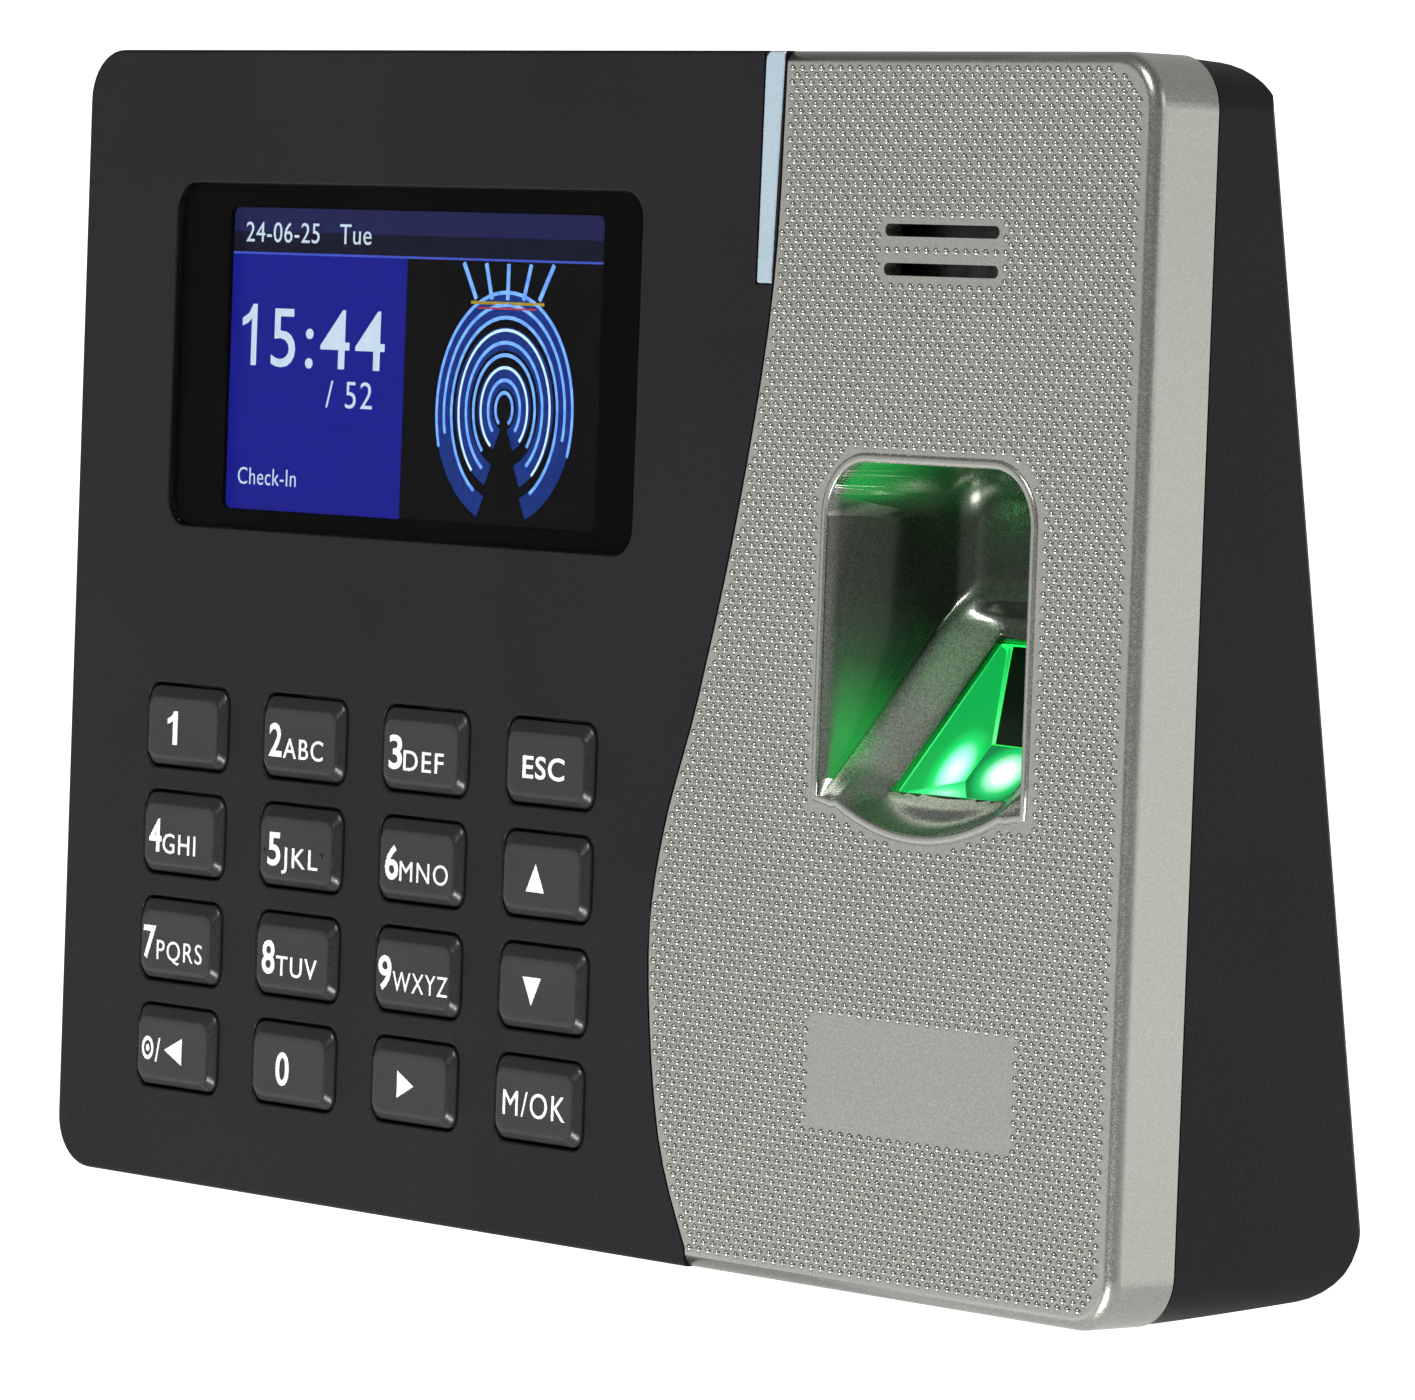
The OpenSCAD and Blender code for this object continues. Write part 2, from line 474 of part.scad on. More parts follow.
module security_screw() color([0.6, 0.6, 0.63]) translate([sec_x, sec_y, 0]) difference() {
  union() { translate([0, 0, -61.7]) cylinder(r = 1.45, h = 14.3, $fn = 32); translate([0, 0, -63.6]) cylinder(r = 2.7, h = 2, $fn = 32); }
  translate([0, 0, -64.2]) cylinder(r = 1.3, h = 1.8, $fn = 6);
}

front_housing();
side_fascia();
finger_well();
rear_shell();
light_bar();
light_bar_board();
screen_lens();
lcd_panel();
lcd_bracket();
key_cap(0, 0, key_tone);  // key_1
key_cap(1, 0, key_tone);  // key_2
key_cap(2, 0, key_tone);  // key_3
key_cap(3, 0, key_tone);  // key_esc
key_cap(0, 1, key_tone);  // key_4
key_cap(1, 1, key_tone);  // key_5
key_cap(2, 1, key_tone);  // key_6
key_cap(3, 1, key_tone);  // key_up_arrow
key_cap(0, 2, key_tone);  // key_7
key_cap(1, 2, key_tone);  // key_8
key_cap(2, 2, key_tone);  // key_9
key_cap(3, 2, key_tone);  // key_down_arrow
key_cap(0, 3, key_tone);  // key_back
key_cap(1, 3, key_tone);  // key_0
key_cap(2, 3, key_tone);  // key_next
key_cap(3, 3, key_tone);  // key_ok
keypad_mat();
keypad_board();
keypad_flex();
display_flex();
main_board();
board_chips();
board_capacitors();
board_connectors();
coin_cell_holder();
coin_cell();
usb_port();
ethernet_jack();
dc_jack();
reset_switch();
reset_button();
speaker();
speaker_gasket();
speaker_wires();
sensor_prism();
sensor_housing();
sensor_board();
sensor_leds();
sensor_camera();
sensor_cable();
case_screws();
small_screws();
board_screws();
sensor_screws();
wall_plate();
security_screw();
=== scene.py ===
"""Looks of the wall-mounted time clock: every shown piece is built or refined here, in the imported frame."""
import bpy
import bmesh
import math
from mathutils import Matrix, Vector


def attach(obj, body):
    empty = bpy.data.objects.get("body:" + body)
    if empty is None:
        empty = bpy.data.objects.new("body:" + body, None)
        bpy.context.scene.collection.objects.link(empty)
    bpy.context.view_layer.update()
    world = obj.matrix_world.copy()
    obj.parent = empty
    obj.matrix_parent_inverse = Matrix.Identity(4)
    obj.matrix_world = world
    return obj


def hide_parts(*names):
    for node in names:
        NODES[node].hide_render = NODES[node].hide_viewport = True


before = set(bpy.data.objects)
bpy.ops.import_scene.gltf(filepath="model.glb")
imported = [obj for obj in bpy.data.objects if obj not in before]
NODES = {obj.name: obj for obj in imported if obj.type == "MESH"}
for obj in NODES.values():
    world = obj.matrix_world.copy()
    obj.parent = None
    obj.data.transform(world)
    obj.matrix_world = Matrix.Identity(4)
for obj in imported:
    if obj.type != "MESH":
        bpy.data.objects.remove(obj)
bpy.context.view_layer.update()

# ------------------------------------------------------------------ frame
# Face frame: x across, y depth behind the front face, z up along it, in millimetres.
LEAN = math.radians(9.32)
CL, SL = math.cos(LEAN), math.sin(LEAN)
BACK, MID = 39 * CL, 61.6
FACE = (Matrix.Translation((0, -BACK / 1000, -MID / 1000)) @ Matrix.Rotation(-LEAN, 4, "X")
        @ Matrix.Scale(0.001, 4))
W, H, RC = 184.0, 134.0, 6.0


def to_row(x, y, z):
    return FACE @ Vector((x, y, z))


def dir_row(x, y, z):
    return Vector((x, y * CL + z * SL, -y * SL + z * CL)).normalized()


# ------------------------------------------------------------------ materials
def tree(name):
    m = bpy.data.materials.new(name)
    m.use_nodes = True
    nt = m.node_tree
    return m, nt, nt.nodes["Principled BSDF"]


def coords(nt):
    return nt.nodes.new("ShaderNodeTexCoord").outputs["Object"]


def noise(nt, vec, scale, detail=3.0, rough=0.5):
    n = nt.nodes.new("ShaderNodeTexNoise")
    n.inputs["Scale"].default_value = scale
    n.inputs["Detail"].default_value = detail
    n.inputs["Roughness"].default_value = rough
    nt.links.new(vec, n.inputs["Vector"])
    return n.outputs["Fac"]


def ramp(nt, fac, stops):
    r = nt.nodes.new("ShaderNodeValToRGB")
    els = r.color_ramp.elements
    while len(els) < len(stops):
        els.new(0.5)
    for e, (p, c) in zip(els, stops):
        e.position = p
        e.color = (*c, 1) if len(c) == 3 else c
    nt.links.new(fac, r.inputs["Fac"])
    return r.outputs["Color"]


def span(nt, fac, lo, hi, a=0.3, b=0.7):
    m = nt.nodes.new("ShaderNodeMapRange")
    m.inputs["From Min"].default_value = a
    m.inputs["From Max"].default_value = b
    m.inputs["To Min"].default_value = lo
    m.inputs["To Max"].default_value = hi
    nt.links.new(fac, m.inputs["Value"])
    return m.outputs["Result"]


def bump(nt, bsdf, height, strength, dist, normal=None):
    b = nt.nodes.new("ShaderNodeBump")
    b.inputs["Strength"].default_value = strength
    b.inputs["Distance"].default_value = dist
    nt.links.new(height, b.inputs["Height"])
    if normal is not None:
        nt.links.new(normal, b.inputs["Normal"])
    nt.links.new(b.outputs["Normal"], bsdf.inputs["Normal"])
    return b.outputs["Normal"]


def moulded(name, dark, light, rough, grain=2600.0, depth=0.00004, strength=0.35, metallic=0.0, spread=0.07, ior=1.46, coat=0.0, spec=0.5):
    """Moulded or painted surface: colour drift, fine grain in the relief and in the gloss."""
    m, nt, b = tree(name)
    v = coords(nt)
    broad = noise(nt, v, 38.0, 3.0, 0.55)
    fine = noise(nt, v, grain, 2.0, 0.6)
    mix = nt.nodes.new("ShaderNodeMath")
    mix.operation = "ADD"
    half = nt.nodes.new("ShaderNodeMath")
    half.operation = "MULTIPLY"
    half.inputs[1].default_value = 0.45
    nt.links.new(fine, half.inputs[0])
    nt.links.new(broad, mix.inputs[0])
    nt.links.new(half.outputs[0], mix.inputs[1])
    col = ramp(nt, mix.outputs[0], [(0.45, dark), (1.0, light)])
    nt.links.new(col, b.inputs["Base Color"])
    nt.links.new(span(nt, fine, rough - spread, rough + spread), b.inputs["Roughness"])
    b.inputs["Metallic"].default_value = metallic
    b.inputs["IOR"].default_value = ior
    b.inputs["Coat Weight"].default_value = coat
    b.inputs["Coat Roughness"].default_value = 0.25
    b.inputs["Specular IOR Level"].default_value = spec
    bump(nt, b, fine, strength, depth)
    return m


def well_shade_and_glow(nt):
    """Painted light in the finger well: a mask, 1 on the walls down in the well, which the paint darkens as painted
    shade, 0 elsewhere; and that mask times the painted green glow.
    """
    tc = nt.nodes.new("ShaderNodeTexCoord")

    def dot(vec_out, d):
        n = nt.nodes.new("ShaderNodeVectorMath")
        n.operation = "DOT_PRODUCT"
        nt.links.new(vec_out, n.inputs[0])
        n.inputs[1].default_value = d
        return n.outputs["Value"]

    def step(val, a, c, lo=0.0, hi=1.0):
        n = nt.nodes.new("ShaderNodeMapRange")
        n.interpolation_type = "SMOOTHSTEP"
        n.inputs["From Min"].default_value = a
        n.inputs["From Max"].default_value = c
        n.inputs["To Min"].default_value = lo
        n.inputs["To Max"].default_value = hi
        nt.links.new(val, n.inputs["Value"])
        return n.outputs["Result"]

    def mul(a, c):
        n = nt.nodes.new("ShaderNodeMath")
        n.operation = "MULTIPLY"
        nt.links.new(a, n.inputs[0])
        nt.links.new(c, n.inputs[1])
        return n.outputs[0]

    ob = tc.outputs["Object"]
    d0 = (-BACK * CL + MID * SL) / 1000
    h0 = (-BACK * SL - MID * CL) / 1000
    depth = dot(ob, (0.0, CL, -SL))
    high = dot(ob, (0.0, SL, CL))
    px = dot(ob, (1.0, 0.0, 0.0))
    m = step(depth, d0 + 0.0002, d0 + 0.0022)
    m = mul(m, step(px, 0.0405, 0.0415))
    m = mul(m, step(px, 0.0785, 0.0775, 0.0, 1.0))
    m = mul(m, step(high, h0 + 0.0475, h0 + 0.0485))
    m = mul(m, step(high, h0 + 0.0915, h0 + 0.0925, 1.0, 0.0))
    nr = dir_row(0, -math.sin(math.radians(48)), math.cos(math.radians(48)))
    face_up = dot(tc.outputs["Normal"], (nr[0], nr[1], nr[2]))
    m = mul(m, step(face_up, 0.62, 0.86, 1.0, 0.0))
    # painted green glow of the reader on those walls, as emission in the paint: strongest low on the left, and in a
    # band under the ceiling
    far = nt.nodes.new("ShaderNodeVectorMath")
    far.operation = "DISTANCE"
    nt.links.new(ob, far.inputs[0])
    far.inputs[1].default_value = tuple(to_row(43.2, 3.0, 56.5))
    low = step(far.outputs["Value"], 0.001, 0.027, 1.0, 0.0)
    low = mul(low, low)
    band = mul(step(high, h0 + 0.0838, h0 + 0.0868), step(depth, d0 + 0.0005, d0 + 0.021, 1.0, 0.12))
    both = nt.nodes.new("ShaderNodeMath")
    both.operation = "ADD"
    nt.links.new(low, both.inputs[0])
    nt.links.new(mul(band, step(px, 0.0435, 0.0640, 1.0, 0.25)), both.inputs[1])
    return m, mul(m, both.outputs[0])


def sparkle_paint(name, dark, mid, light, rough=0.36, metallic=0.62):
    """Metallic paint: small flakes that differ in brightness over a soft orange-peel skin; on the finger well's walls,
    painted shade and a painted green glow.
    """
    m, nt, b = tree(name)
    v = coords(nt)
    cell = nt.nodes.new("ShaderNodeTexVoronoi")
    cell.inputs["Scale"].default_value = 7200.0
    nt.links.new(v, cell.inputs["Vector"])
    grey = nt.nodes.new("ShaderNodeRGBToBW")
    nt.links.new(cell.outputs["Color"], grey.inputs["Color"])
    peel = noise(nt, v, 1500.0, 2.0)
    broad = noise(nt, v, 26.0, 2.0)
    add = nt.nodes.new("ShaderNodeMath")
    add.operation = "MULTIPLY_ADD"
    add.inputs[1].default_value = 0.35
    nt.links.new(broad, add.inputs[0])
    nt.links.new(grey.outputs["Val"], add.inputs[2])
    col = ramp(nt, add.outputs[0], [(0.0, dark), (0.62, mid), (1.15, light)])
    shade_, green_ = well_shade_and_glow(nt)
    # painted green glow: emission in the silver paint on the well's walls, where the reader's light falls
    glow = ramp(nt, green_, [(0.0, (0.0, 0.0, 0.0)), (0.35, (0.002, 0.055, 0.010)), (1.0, (0.012, 0.36, 0.055))])
    nt.links.new(glow, b.inputs["Emission Color"])
    b.inputs["Emission Strength"].default_value = 0.8
    mixc = nt.nodes.new("ShaderNodeMix")
    mixc.data_type = "RGBA"
    mixc.blend_type = "MULTIPLY"
    nt.links.new(shade_, mixc.inputs["Factor"])
    nt.links.new(col, mixc.inputs["A"])
    # painted shade: the darker colour multiplied into the paint on the well's walls
    well_shade_colour = ramp(nt, broad, [(0.3, (0.17, 0.19, 0.17)), (0.7, (0.21, 0.23, 0.20))])
    nt.links.new(well_shade_colour, mixc.inputs["B"])
    nt.links.new(mixc.outputs["Result"], b.inputs["Base Color"])
    nt.links.new(span(nt, grey.outputs["Val"], rough - 0.04, rough + 0.05, 0.1, 0.9), b.inputs["Roughness"])
    b.inputs["Metallic"].default_value = metallic
    bump(nt, b, peel, 0.25, 0.00002)
    return m


def metal(name, col, rough, scale=(900.0, 900.0, 60.0), aniso=0.0):
    """Plated or brushed metal: streaks stretched along one way, with dull patches."""
    m, nt, b = tree(name)
    v = coords(nt)
    mp = nt.nodes.new("ShaderNodeMapping")
    mp.inputs["Scale"].default_value = scale
    nt.links.new(v, mp.inputs["Vector"])
    n = noise(nt, mp.outputs["Vector"], 1.0, 4.0, 0.6)
    patch = noise(nt, v, 90.0, 3.0)
    c = ramp(nt, patch, [(0.3, tuple(x * 0.78 for x in col)), (0.7, col)])
    nt.links.new(c, b.inputs["Base Color"])
    b.inputs["Metallic"].default_value = 1.0
    nt.links.new(span(nt, n, rough - 0.08, rough + 0.14), b.inputs["Roughness"])
    bump(nt, b, n, 0.2, 0.00002)
    return m


def glowing(name, a, c, strength, scale=600.0, rough=0.3):
    """Lit surface: an even glow with a faint dot structure."""
    m, nt, b = tree(name)
    v = coords(nt)
    n = noise(nt, v, scale, 1.0)
    col = ramp(nt, n, [(0.25, a), (0.75, c)])
    nt.links.new(ramp(nt, n, [(0.25, tuple(x * 0.02 for x in a)), (0.75, tuple(x * 0.03 for x in c))]), b.inputs["Base Color"])
    nt.links.new(col, b.inputs["Emission Color"])
    b.inputs["Emission Strength"].default_value = strength
    b.inputs["Roughness"].default_value = rough
    b.inputs["Specular IOR Level"].default_value = 0.04
    return m


def clear(name, col, rough=0.03, ior=1.47, transmission=1.0, emission=None, strength=0.0):
    m, nt, b = tree(name)
    v = coords(nt)
    n = noise(nt, v, 240.0, 3.0)
    nt.links.new(span(nt, n, max(0.0, rough - 0.02), rough + 0.03), b.inputs["Roughness"])
    c = ramp(nt, n, [(0.3, tuple(x * 0.96 for x in col)), (0.7, col)])
    nt.links.new(c, b.inputs["Base Color"])
    b.inputs["Transmission Weight"].default_value = transmission
    b.inputs["IOR"].default_value = ior
    if emission:
        b.inputs["Emission Color"].default_value = (*emission, 1)
        b.inputs["Emission Strength"].default_value = strength
    return m


M = {}
M["case"] = moulded("case_black", (0.0042, 0.0042, 0.0053), (0.0084, 0.0084, 0.0102), 0.44, 2400.0, 0.00006, 0.8, spec=0.22)
M["rear"] = moulded("rear_black", (0.0040, 0.0040, 0.0050), (0.0080, 0.0080, 0.0096), 0.44, 2400.0, 0.00006, 0.8, spec=0.22)
M["silver"] = sparkle_paint("silver_paint", (0.32, 0.327, 0.293), (0.375, 0.382, 0.345), (0.44, 0.45, 0.41), 0.27, 0.93)
M["key"] = moulded("key_grey", (0.0125, 0.0130, 0.0148), (0.0195, 0.0202, 0.0228), 0.30, 3800.0, 0.00002, 0.25, spec=0.45)
M["legend"] = moulded("legend_white", (0.80, 0.80, 0.79), (0.90, 0.90, 0.90), 0.42, 3000.0, 0.00001, 0.2)
M["bar"] = moulded("light_guide", (0.33, 0.42, 0.485), (0.37, 0.47, 0.54), 0.28, 1600.0, 0.00001, 0.12, ior=1.49, coat=0.15)
M["mask"] = moulded("screen_border", (0.0010, 0.0010, 0.0011), (0.0017, 0.0017, 0.0019), 0.5, 900.0, 0.000005, 0.1, spec=0.02)
M["glass"] = clear("lens_clear", (0.93, 0.93, 0.94), 0.03, 1.05)
M["rubber"] = moulded("silicone", (0.16, 0.16, 0.17), (0.24, 0.24, 0.25), 0.62, 1500.0)
M["foam"] = moulded("foam", (0.008, 0.008, 0.008), (0.03, 0.03, 0.03), 0.9, 1700.0, 0.0002, 0.9)
M["board"] = moulded("solder_mask_green", (0.008, 0.075, 0.022), (0.016, 0.13, 0.04), 0.3, 500.0, 0.00003, 0.5)
M["board_blue"] = moulded("solder_mask_blue", (0.008, 0.03, 0.12), (0.014, 0.05, 0.18), 0.3, 500.0, 0.00003, 0.5)
M["flex"] = moulded("polyimide", (0.40, 0.17, 0.03), (0.55, 0.25, 0.05), 0.3, 800.0)
M["epoxy"] = moulded("moulded_epoxy", (0.011, 0.011, 0.012), (0.022, 0.022, 0.024), 0.5, 2200.0)
M["nylon"] = moulded("nylon", (0.60, 0.57, 0.47), (0.74, 0.71, 0.60), 0.45, 1500.0)
M["wire"] = moulded("wire_red", (0.33, 0.01, 0.01), (0.45, 0.02, 0.02), 0.4, 900.0)
M["white"] = moulded("button_white", (0.62, 0.62, 0.62), (0.72, 0.72, 0.72), 0.4, 1500.0)
M["ribbon"] = moulded("ribbon", (0.36, 0.36, 0.38), (0.48, 0.48, 0.50), 0.4, 900.0)
M["zinc"] = metal("galvanised", (0.55, 0.56, 0.58), 0.42, (140.0, 140.0, 140.0))
M["screw"] = metal("zinc_screw", (0.62, 0.62, 0.64), 0.3)
M["tin"] = metal("tinned", (0.66, 0.66, 0.67), 0.27)
M["cell"] = metal("cell_steel", (0.62, 0.61, 0.58), 0.25, (60.0, 900.0, 900.0))
M["can"] = metal("can_aluminium", (0.70, 0.70, 0.72), 0.3)
M["cone"] = metal("speaker_steel", (0.16, 0.16, 0.17), 0.5)


def give(obj, m):
    obj.data.materials.clear()
    obj.data.materials.append(m)


# ------------------------------------------------------------------ mesh helpers
def new_obj(name, verts, faces, mat, body="case", smooth=True, xf=FACE):
    me = bpy.data.meshes.new(name)
    me.from_pydata([tuple(v) for v in verts], [], faces)
    me.validate()
    if xf is not None:
        me.transform(xf)
    o = bpy.data.objects.new(name, me)
    bpy.context.scene.collection.objects.link(o)
    me.materials.append(mat)
    for p in me.polygons:
        p.use_smooth = smooth
    if body:
        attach(o, body)
    return o


def fix_normals(o):
    bm = bmesh.new()
    bm.from_mesh(o.data)
    bmesh.ops.recalc_face_normals(bm, faces=bm.faces)
    bm.to_mesh(o.data)
    bm.free()


def rrect(w, h, r, n=6, cx=0.0, cz=0.0):
    """Points of a rounded rectangle, anticlockwise in (x, z)."""
    out = []
    for k, (sx, sz) in enumerate([(1, -1), (1, 1), (-1, 1), (-1, -1)]):
        for i in range(n + 1):
            a = math.radians(-90 + 90 * k + 90 * i / n)
            out.append((cx + sx * (w / 2 - r) + r * math.cos(a), cz + sz * (h / 2 - r) + r * math.sin(a)))
    return out


def loft(rings, cap0=True, cap1=True):
    """Closed rings of equal count, each a list of (x, y, z)."""
    verts = [p for r in rings for p in r]
    n = len(rings[0])
    faces = []
    for k in range(len(rings) - 1):
        for i in range(n):
            j = (i + 1) % n
            faces.append((k * n + i, k * n + j, (k + 1) * n + j, (k + 1) * n + i))
    if cap0:
        faces.append(tuple(range(n))[::-1])
    if cap1:
        faces.append(tuple((len(rings) - 1) * n + i for i in range(n)))
    return verts, faces


def flat_normals(o, keep=True):
    """Shading normals weighted to the large faces, so flats stay flat beside small fillets."""
    n = o.modifiers.new("normals", "WEIGHTED_NORMAL")
    n.keep_sharp = keep
    n.weight = 80
    return o


def flared(rings_def, cx, cz, n=6):
    """Cutter with a flared mouth: a pocket whose rim is rounded."""
    return loft([[(x, y, z) for x, z in rrect(w, h, max(r, 0.05), n, cx, cz)] for w, h, r, y in rings_def])


def apply_mods(o):
    dg = bpy.context.evaluated_depsgraph_get()
    me = bpy.data.meshes.new_from_object(o.evaluated_get(dg))
    old = o.data
    o.modifiers.clear()
    o.data = me
    return o


def boolean(o, cutter, op="DIFFERENCE", drop=True):
    m = o.modifiers.new("b", "BOOLEAN")
    m.operation = op
    m.solver = "EXACT"
    m.object = cutter
    bpy.context.view_layer.update()
    apply_mods(o)
    if drop:
        bpy.data.objects.remove(cutter)
    return o


def soften(o, width, segments=2, angle=32, harden=True):
    """Real rounded edges on a body made of flat faces."""
    b = o.modifiers.new("bevel", "BEVEL")
    b.width = width
    b.segments = segments
    b.limit_method = "ANGLE"
    b.angle_limit = math.radians(angle)
    b.use_clamp_overlap = True
    b.harden_normals = False
    flat_normals(o)
    return o


def shade(o, angle=34):
    """Smooth shading with sharp edges kept by angle."""
    for p in o.data.polygons:
        p.use_smooth = True
    try:
        o.data.set_sharp_from_angle(angle=math.radians(angle))
    except Exception:
        pass
    return o


def copy_node(name, new_name, mat, body="case"):
    o = bpy.data.objects.new(new_name, NODES[name].data.copy())
    bpy.context.scene.collection.objects.link(o)
    give(o, mat)
    return o


def weld(o, dist=0.000004):
    bm = bmesh.new()
    bm.from_mesh(o.data)
    bmesh.ops.remove_doubles(bm, verts=bm.verts, dist=dist)
    bmesh.ops.dissolve_limit(bm, angle_limit=math.radians(0.5), verts=bm.verts, edges=bm.edges)
    bmesh.ops.recalc_face_normals(bm, faces=bm.faces)
    bm.to_mesh(o.data)
    bm.free()
    return o


def close_cracks(o, dist=0.000002):
    """Weld coincident points on open edges only, where a cut has left a hairline."""
    bm = bmesh.new()
    bm.from_mesh(o.data)
    edge = {v for e in bm.edges if e.is_boundary for v in e.verts}
    bmesh.ops.remove_doubles(bm, verts=list(edge), dist=dist)
    bm.to_mesh(o.data)
    bm.free()
    return o


def join(objs, name):
    bm = bmesh.new()
    for o in objs:
        tmp = o.data.copy()
        tmp.transform(o.matrix_world)
        bm.from_mesh(tmp)
        bpy.data.meshes.remove(tmp)
    me = bpy.data.meshes.new(name)
    bm.to_mesh(me)
    bm.free()
    mats = [m for m in objs[0].data.materials]
    for o in objs:
        bpy.data.objects.remove(o)
    ob = bpy.data.objects.new(name, me)
    for m in mats:
        me.materials.append(m)
    bpy.context.scene.collection.objects.link(ob)
    return ob


# ------------------------------------------------------------------ camera first
cam_data = bpy.data.cameras.new("camera")
cam = bpy.data.objects.new("camera", cam_data)
bpy.context.scene.collection.objects.link(cam)
bpy.context.scene.camera = cam
YAW, PITCH, ROLL = (math.radians(a) for a in (48.916, 2.6568, 2.0704))
TC = Vector((-73.815, -78.024, 1013.82))


def rot3():
    cy, sy = math.cos(YAW), math.sin(YAW)
    cp, sp = math.cos(PITCH), math.sin(PITCH)
    cr, sr = math.cos(ROLL), math.sin(ROLL)
    ry = Matrix(((cy, 0, sy), (0, 1, 0), (-sy, 0, cy)))
    rx = Matrix(((1, 0, 0), (0, cp, -sp), (0, sp, cp)))
    rz = Matrix(((cr, -sr, 0), (sr, cr, 0), (0, 0, 1)))
    return rz @ rx @ ry


R = rot3()
c_uvn = -(R.transposed() @ TC)
cam_pos = to_row(c_uvn[0] - 92, c_uvn[2], 134 - c_uvn[1])


def uvn_dir(d):
    return dir_row(d[0], d[2], -d[1])


right, down, fwd = uvn_dir(R[0]), uvn_dir(R[1]), uvn_dir(R[2])
rot = Matrix((right, -down, -fwd)).transposed()
cam.matrix_world = Matrix.Translation(cam_pos) @ rot.to_4x4()
cam_data.sensor_fit = "HORIZONTAL"
cam_data.sensor_width = 36.0
cam_data.lens = 8451.42 * 36.0 / 1415.0
cam_data.clip_start, cam_data.clip_end = 0.05, 60.0

# ------------------------------------------------------------------ divider curve, as in the CAD
DIV = [(33.8, 140), (33.75, 134), (32.8, 108.6), (28.5, 84.6), (22.8, 63),
       (17.7, 47.7), (15.9, 34), (18.6, 14), (24.8, 0), (27.6, -6)]


def crom(p0, p1, p2, p3, t):
    return tuple(0.5 * (2 * b + (c - a) * t + (2 * a - 5 * b + 4 * c - d) * t * t
                        + (3 * b - a - 3 * c + d) * t ** 3) for a, b, c, d in zip(p0, p1, p2, p3))


div_pts = []
for i in range(1, len(DIV) - 2):
    for j in range(8):
        div_pts.append(crom(DIV[i - 1], DIV[i], DIV[i + 1], DIV[i + 2], j / 8))
div_pts.append(DIV[-2])


def div_x(z):
    """The divider's x at height z."""
    best = None
    for a, b in zip(div_pts, div_pts[1:]):
        if (a[1] - z) * (b[1] - z) <= 0 and a[1] != b[1]:
            t = (z - a[1]) / (b[1] - a[1])
            return a[0] + t * (b[0] - a[0])
        if best is None or abs(a[1] - z) < abs(best[1] - z):
            best = a
    return best[0]


# ------------------------------------------------------------------ envelopes with real fillets
def envelope(name, fillet, seg, depth, n=10):
    """Front outline of the case with a rounded front edge, from depth to past the front."""
    rings = []
    for k in range(seg + 1):
        a = math.radians(90 * k / seg)
        inset = fillet * (1 - math.sin(a))
        y = fillet * (1 - math.cos(a))
        rr = rrect(W - 2 * inset, H - 2 * inset, max(RC - inset, 0.4), n, 0, H / 2)
        rings.append([(x, y, z) for x, z in rr])
    rings.append([(x, depth, z) for x, z in rrect(W, H, RC, n, 0, H / 2)])
    v, f = loft(rings)
    o = new_obj(name, v, f, M["case"], None)
    fix_normals(o)
    return o


# ---- black front half
front = weld(copy_node("front_housing", "front_shell", M["case"]))
boolean(front, envelope("tmp_env", 0.45, 4, 14.0), "INTERSECT")
cv, cf = [], []
KEY_AT = [(-68.7 + 22.3 * c, 54 - 12.7 * r) for c in range(4) for r in range(4)]


def mouth(w, h, r, f, cx, cz, deep):
    prof = [(w + 2 * f, h + 2 * f, r + f, -1.0)]
    for k in range(5):
        a = math.radians(90 * k / 4)
        g = f * (1 - math.sin(a))
        prof.append((w + 2 * g, h + 2 * g, r + g, f * (1 - math.cos(a))))
    prof.append((w, h, r, deep))
    v_, f_ = flared(prof, cx, cz)
    b_ = len(cv)
    cv.extend(v_)
    cf.extend(tuple(i + b_ for i in q) for q in f_)


for kx, kz in KEY_AT:
    mouth(15.62, 10.02, 1.91, 0.28, kx, kz, 4.0)
mouth(84.72, 40.52, 3.16, 0.22, -31.7, 98.1, 1.2)
cut = new_obj("tmp_mouths", cv, cf, M["case"], None)
fix_normals(cut)
boolean(front, cut)
shade(front, 40)
flat_normals(front)
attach(front, "case")
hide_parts("front_housing")

# ---- silver cover and finger well: one continuous skin, as moulded and painted together
FW_X, FW_Z, FW_W, FW_H, FW_BOT, FW_D = 59.3, 71.55, 32.2, 36.5, 53.3, 20.5
RAMP = math.radians(48)
TR_D, TR_R = 2.1, 40.0


def well_inside(x, z, g=0.0):
    """Distance inside the opening's outline (positive inside)."""
    dx = FW_W / 2 + g - abs(x - FW_X)
    top = FW_Z + FW_H / 2 + g
    r = 6.0 + g
    dz = top - z
    if dx < r and dz < r:
        return r - math.hypot(r - dx, r - dz)
    return min(dx, dz)


def trough_depth(x):
    d = abs(x - FW_X)
    v = math.sqrt(max(TR_R ** 2 - d * d, 0)) - (TR_R - TR_D)
    return max(v, 0.0)


def trough_floor(x):
    """Trough beside the window: flat floor, then straight flanks up to the ridges."""
    d = abs(x - FW_X)
    if d <= 9.2:
        return 2.66
    q = min(max((d - 9.2) / 5.7, 0.0), 1.0)
    soft = q * q * (3 - 2 * q)
    return 2.66 * (1 - (0.65 * q + 0.35 * soft))


def smin(a, b, k):
    h = max(k - abs(a - b), 0.0) / k
    return min(a, b) - h * h * k * 0.25


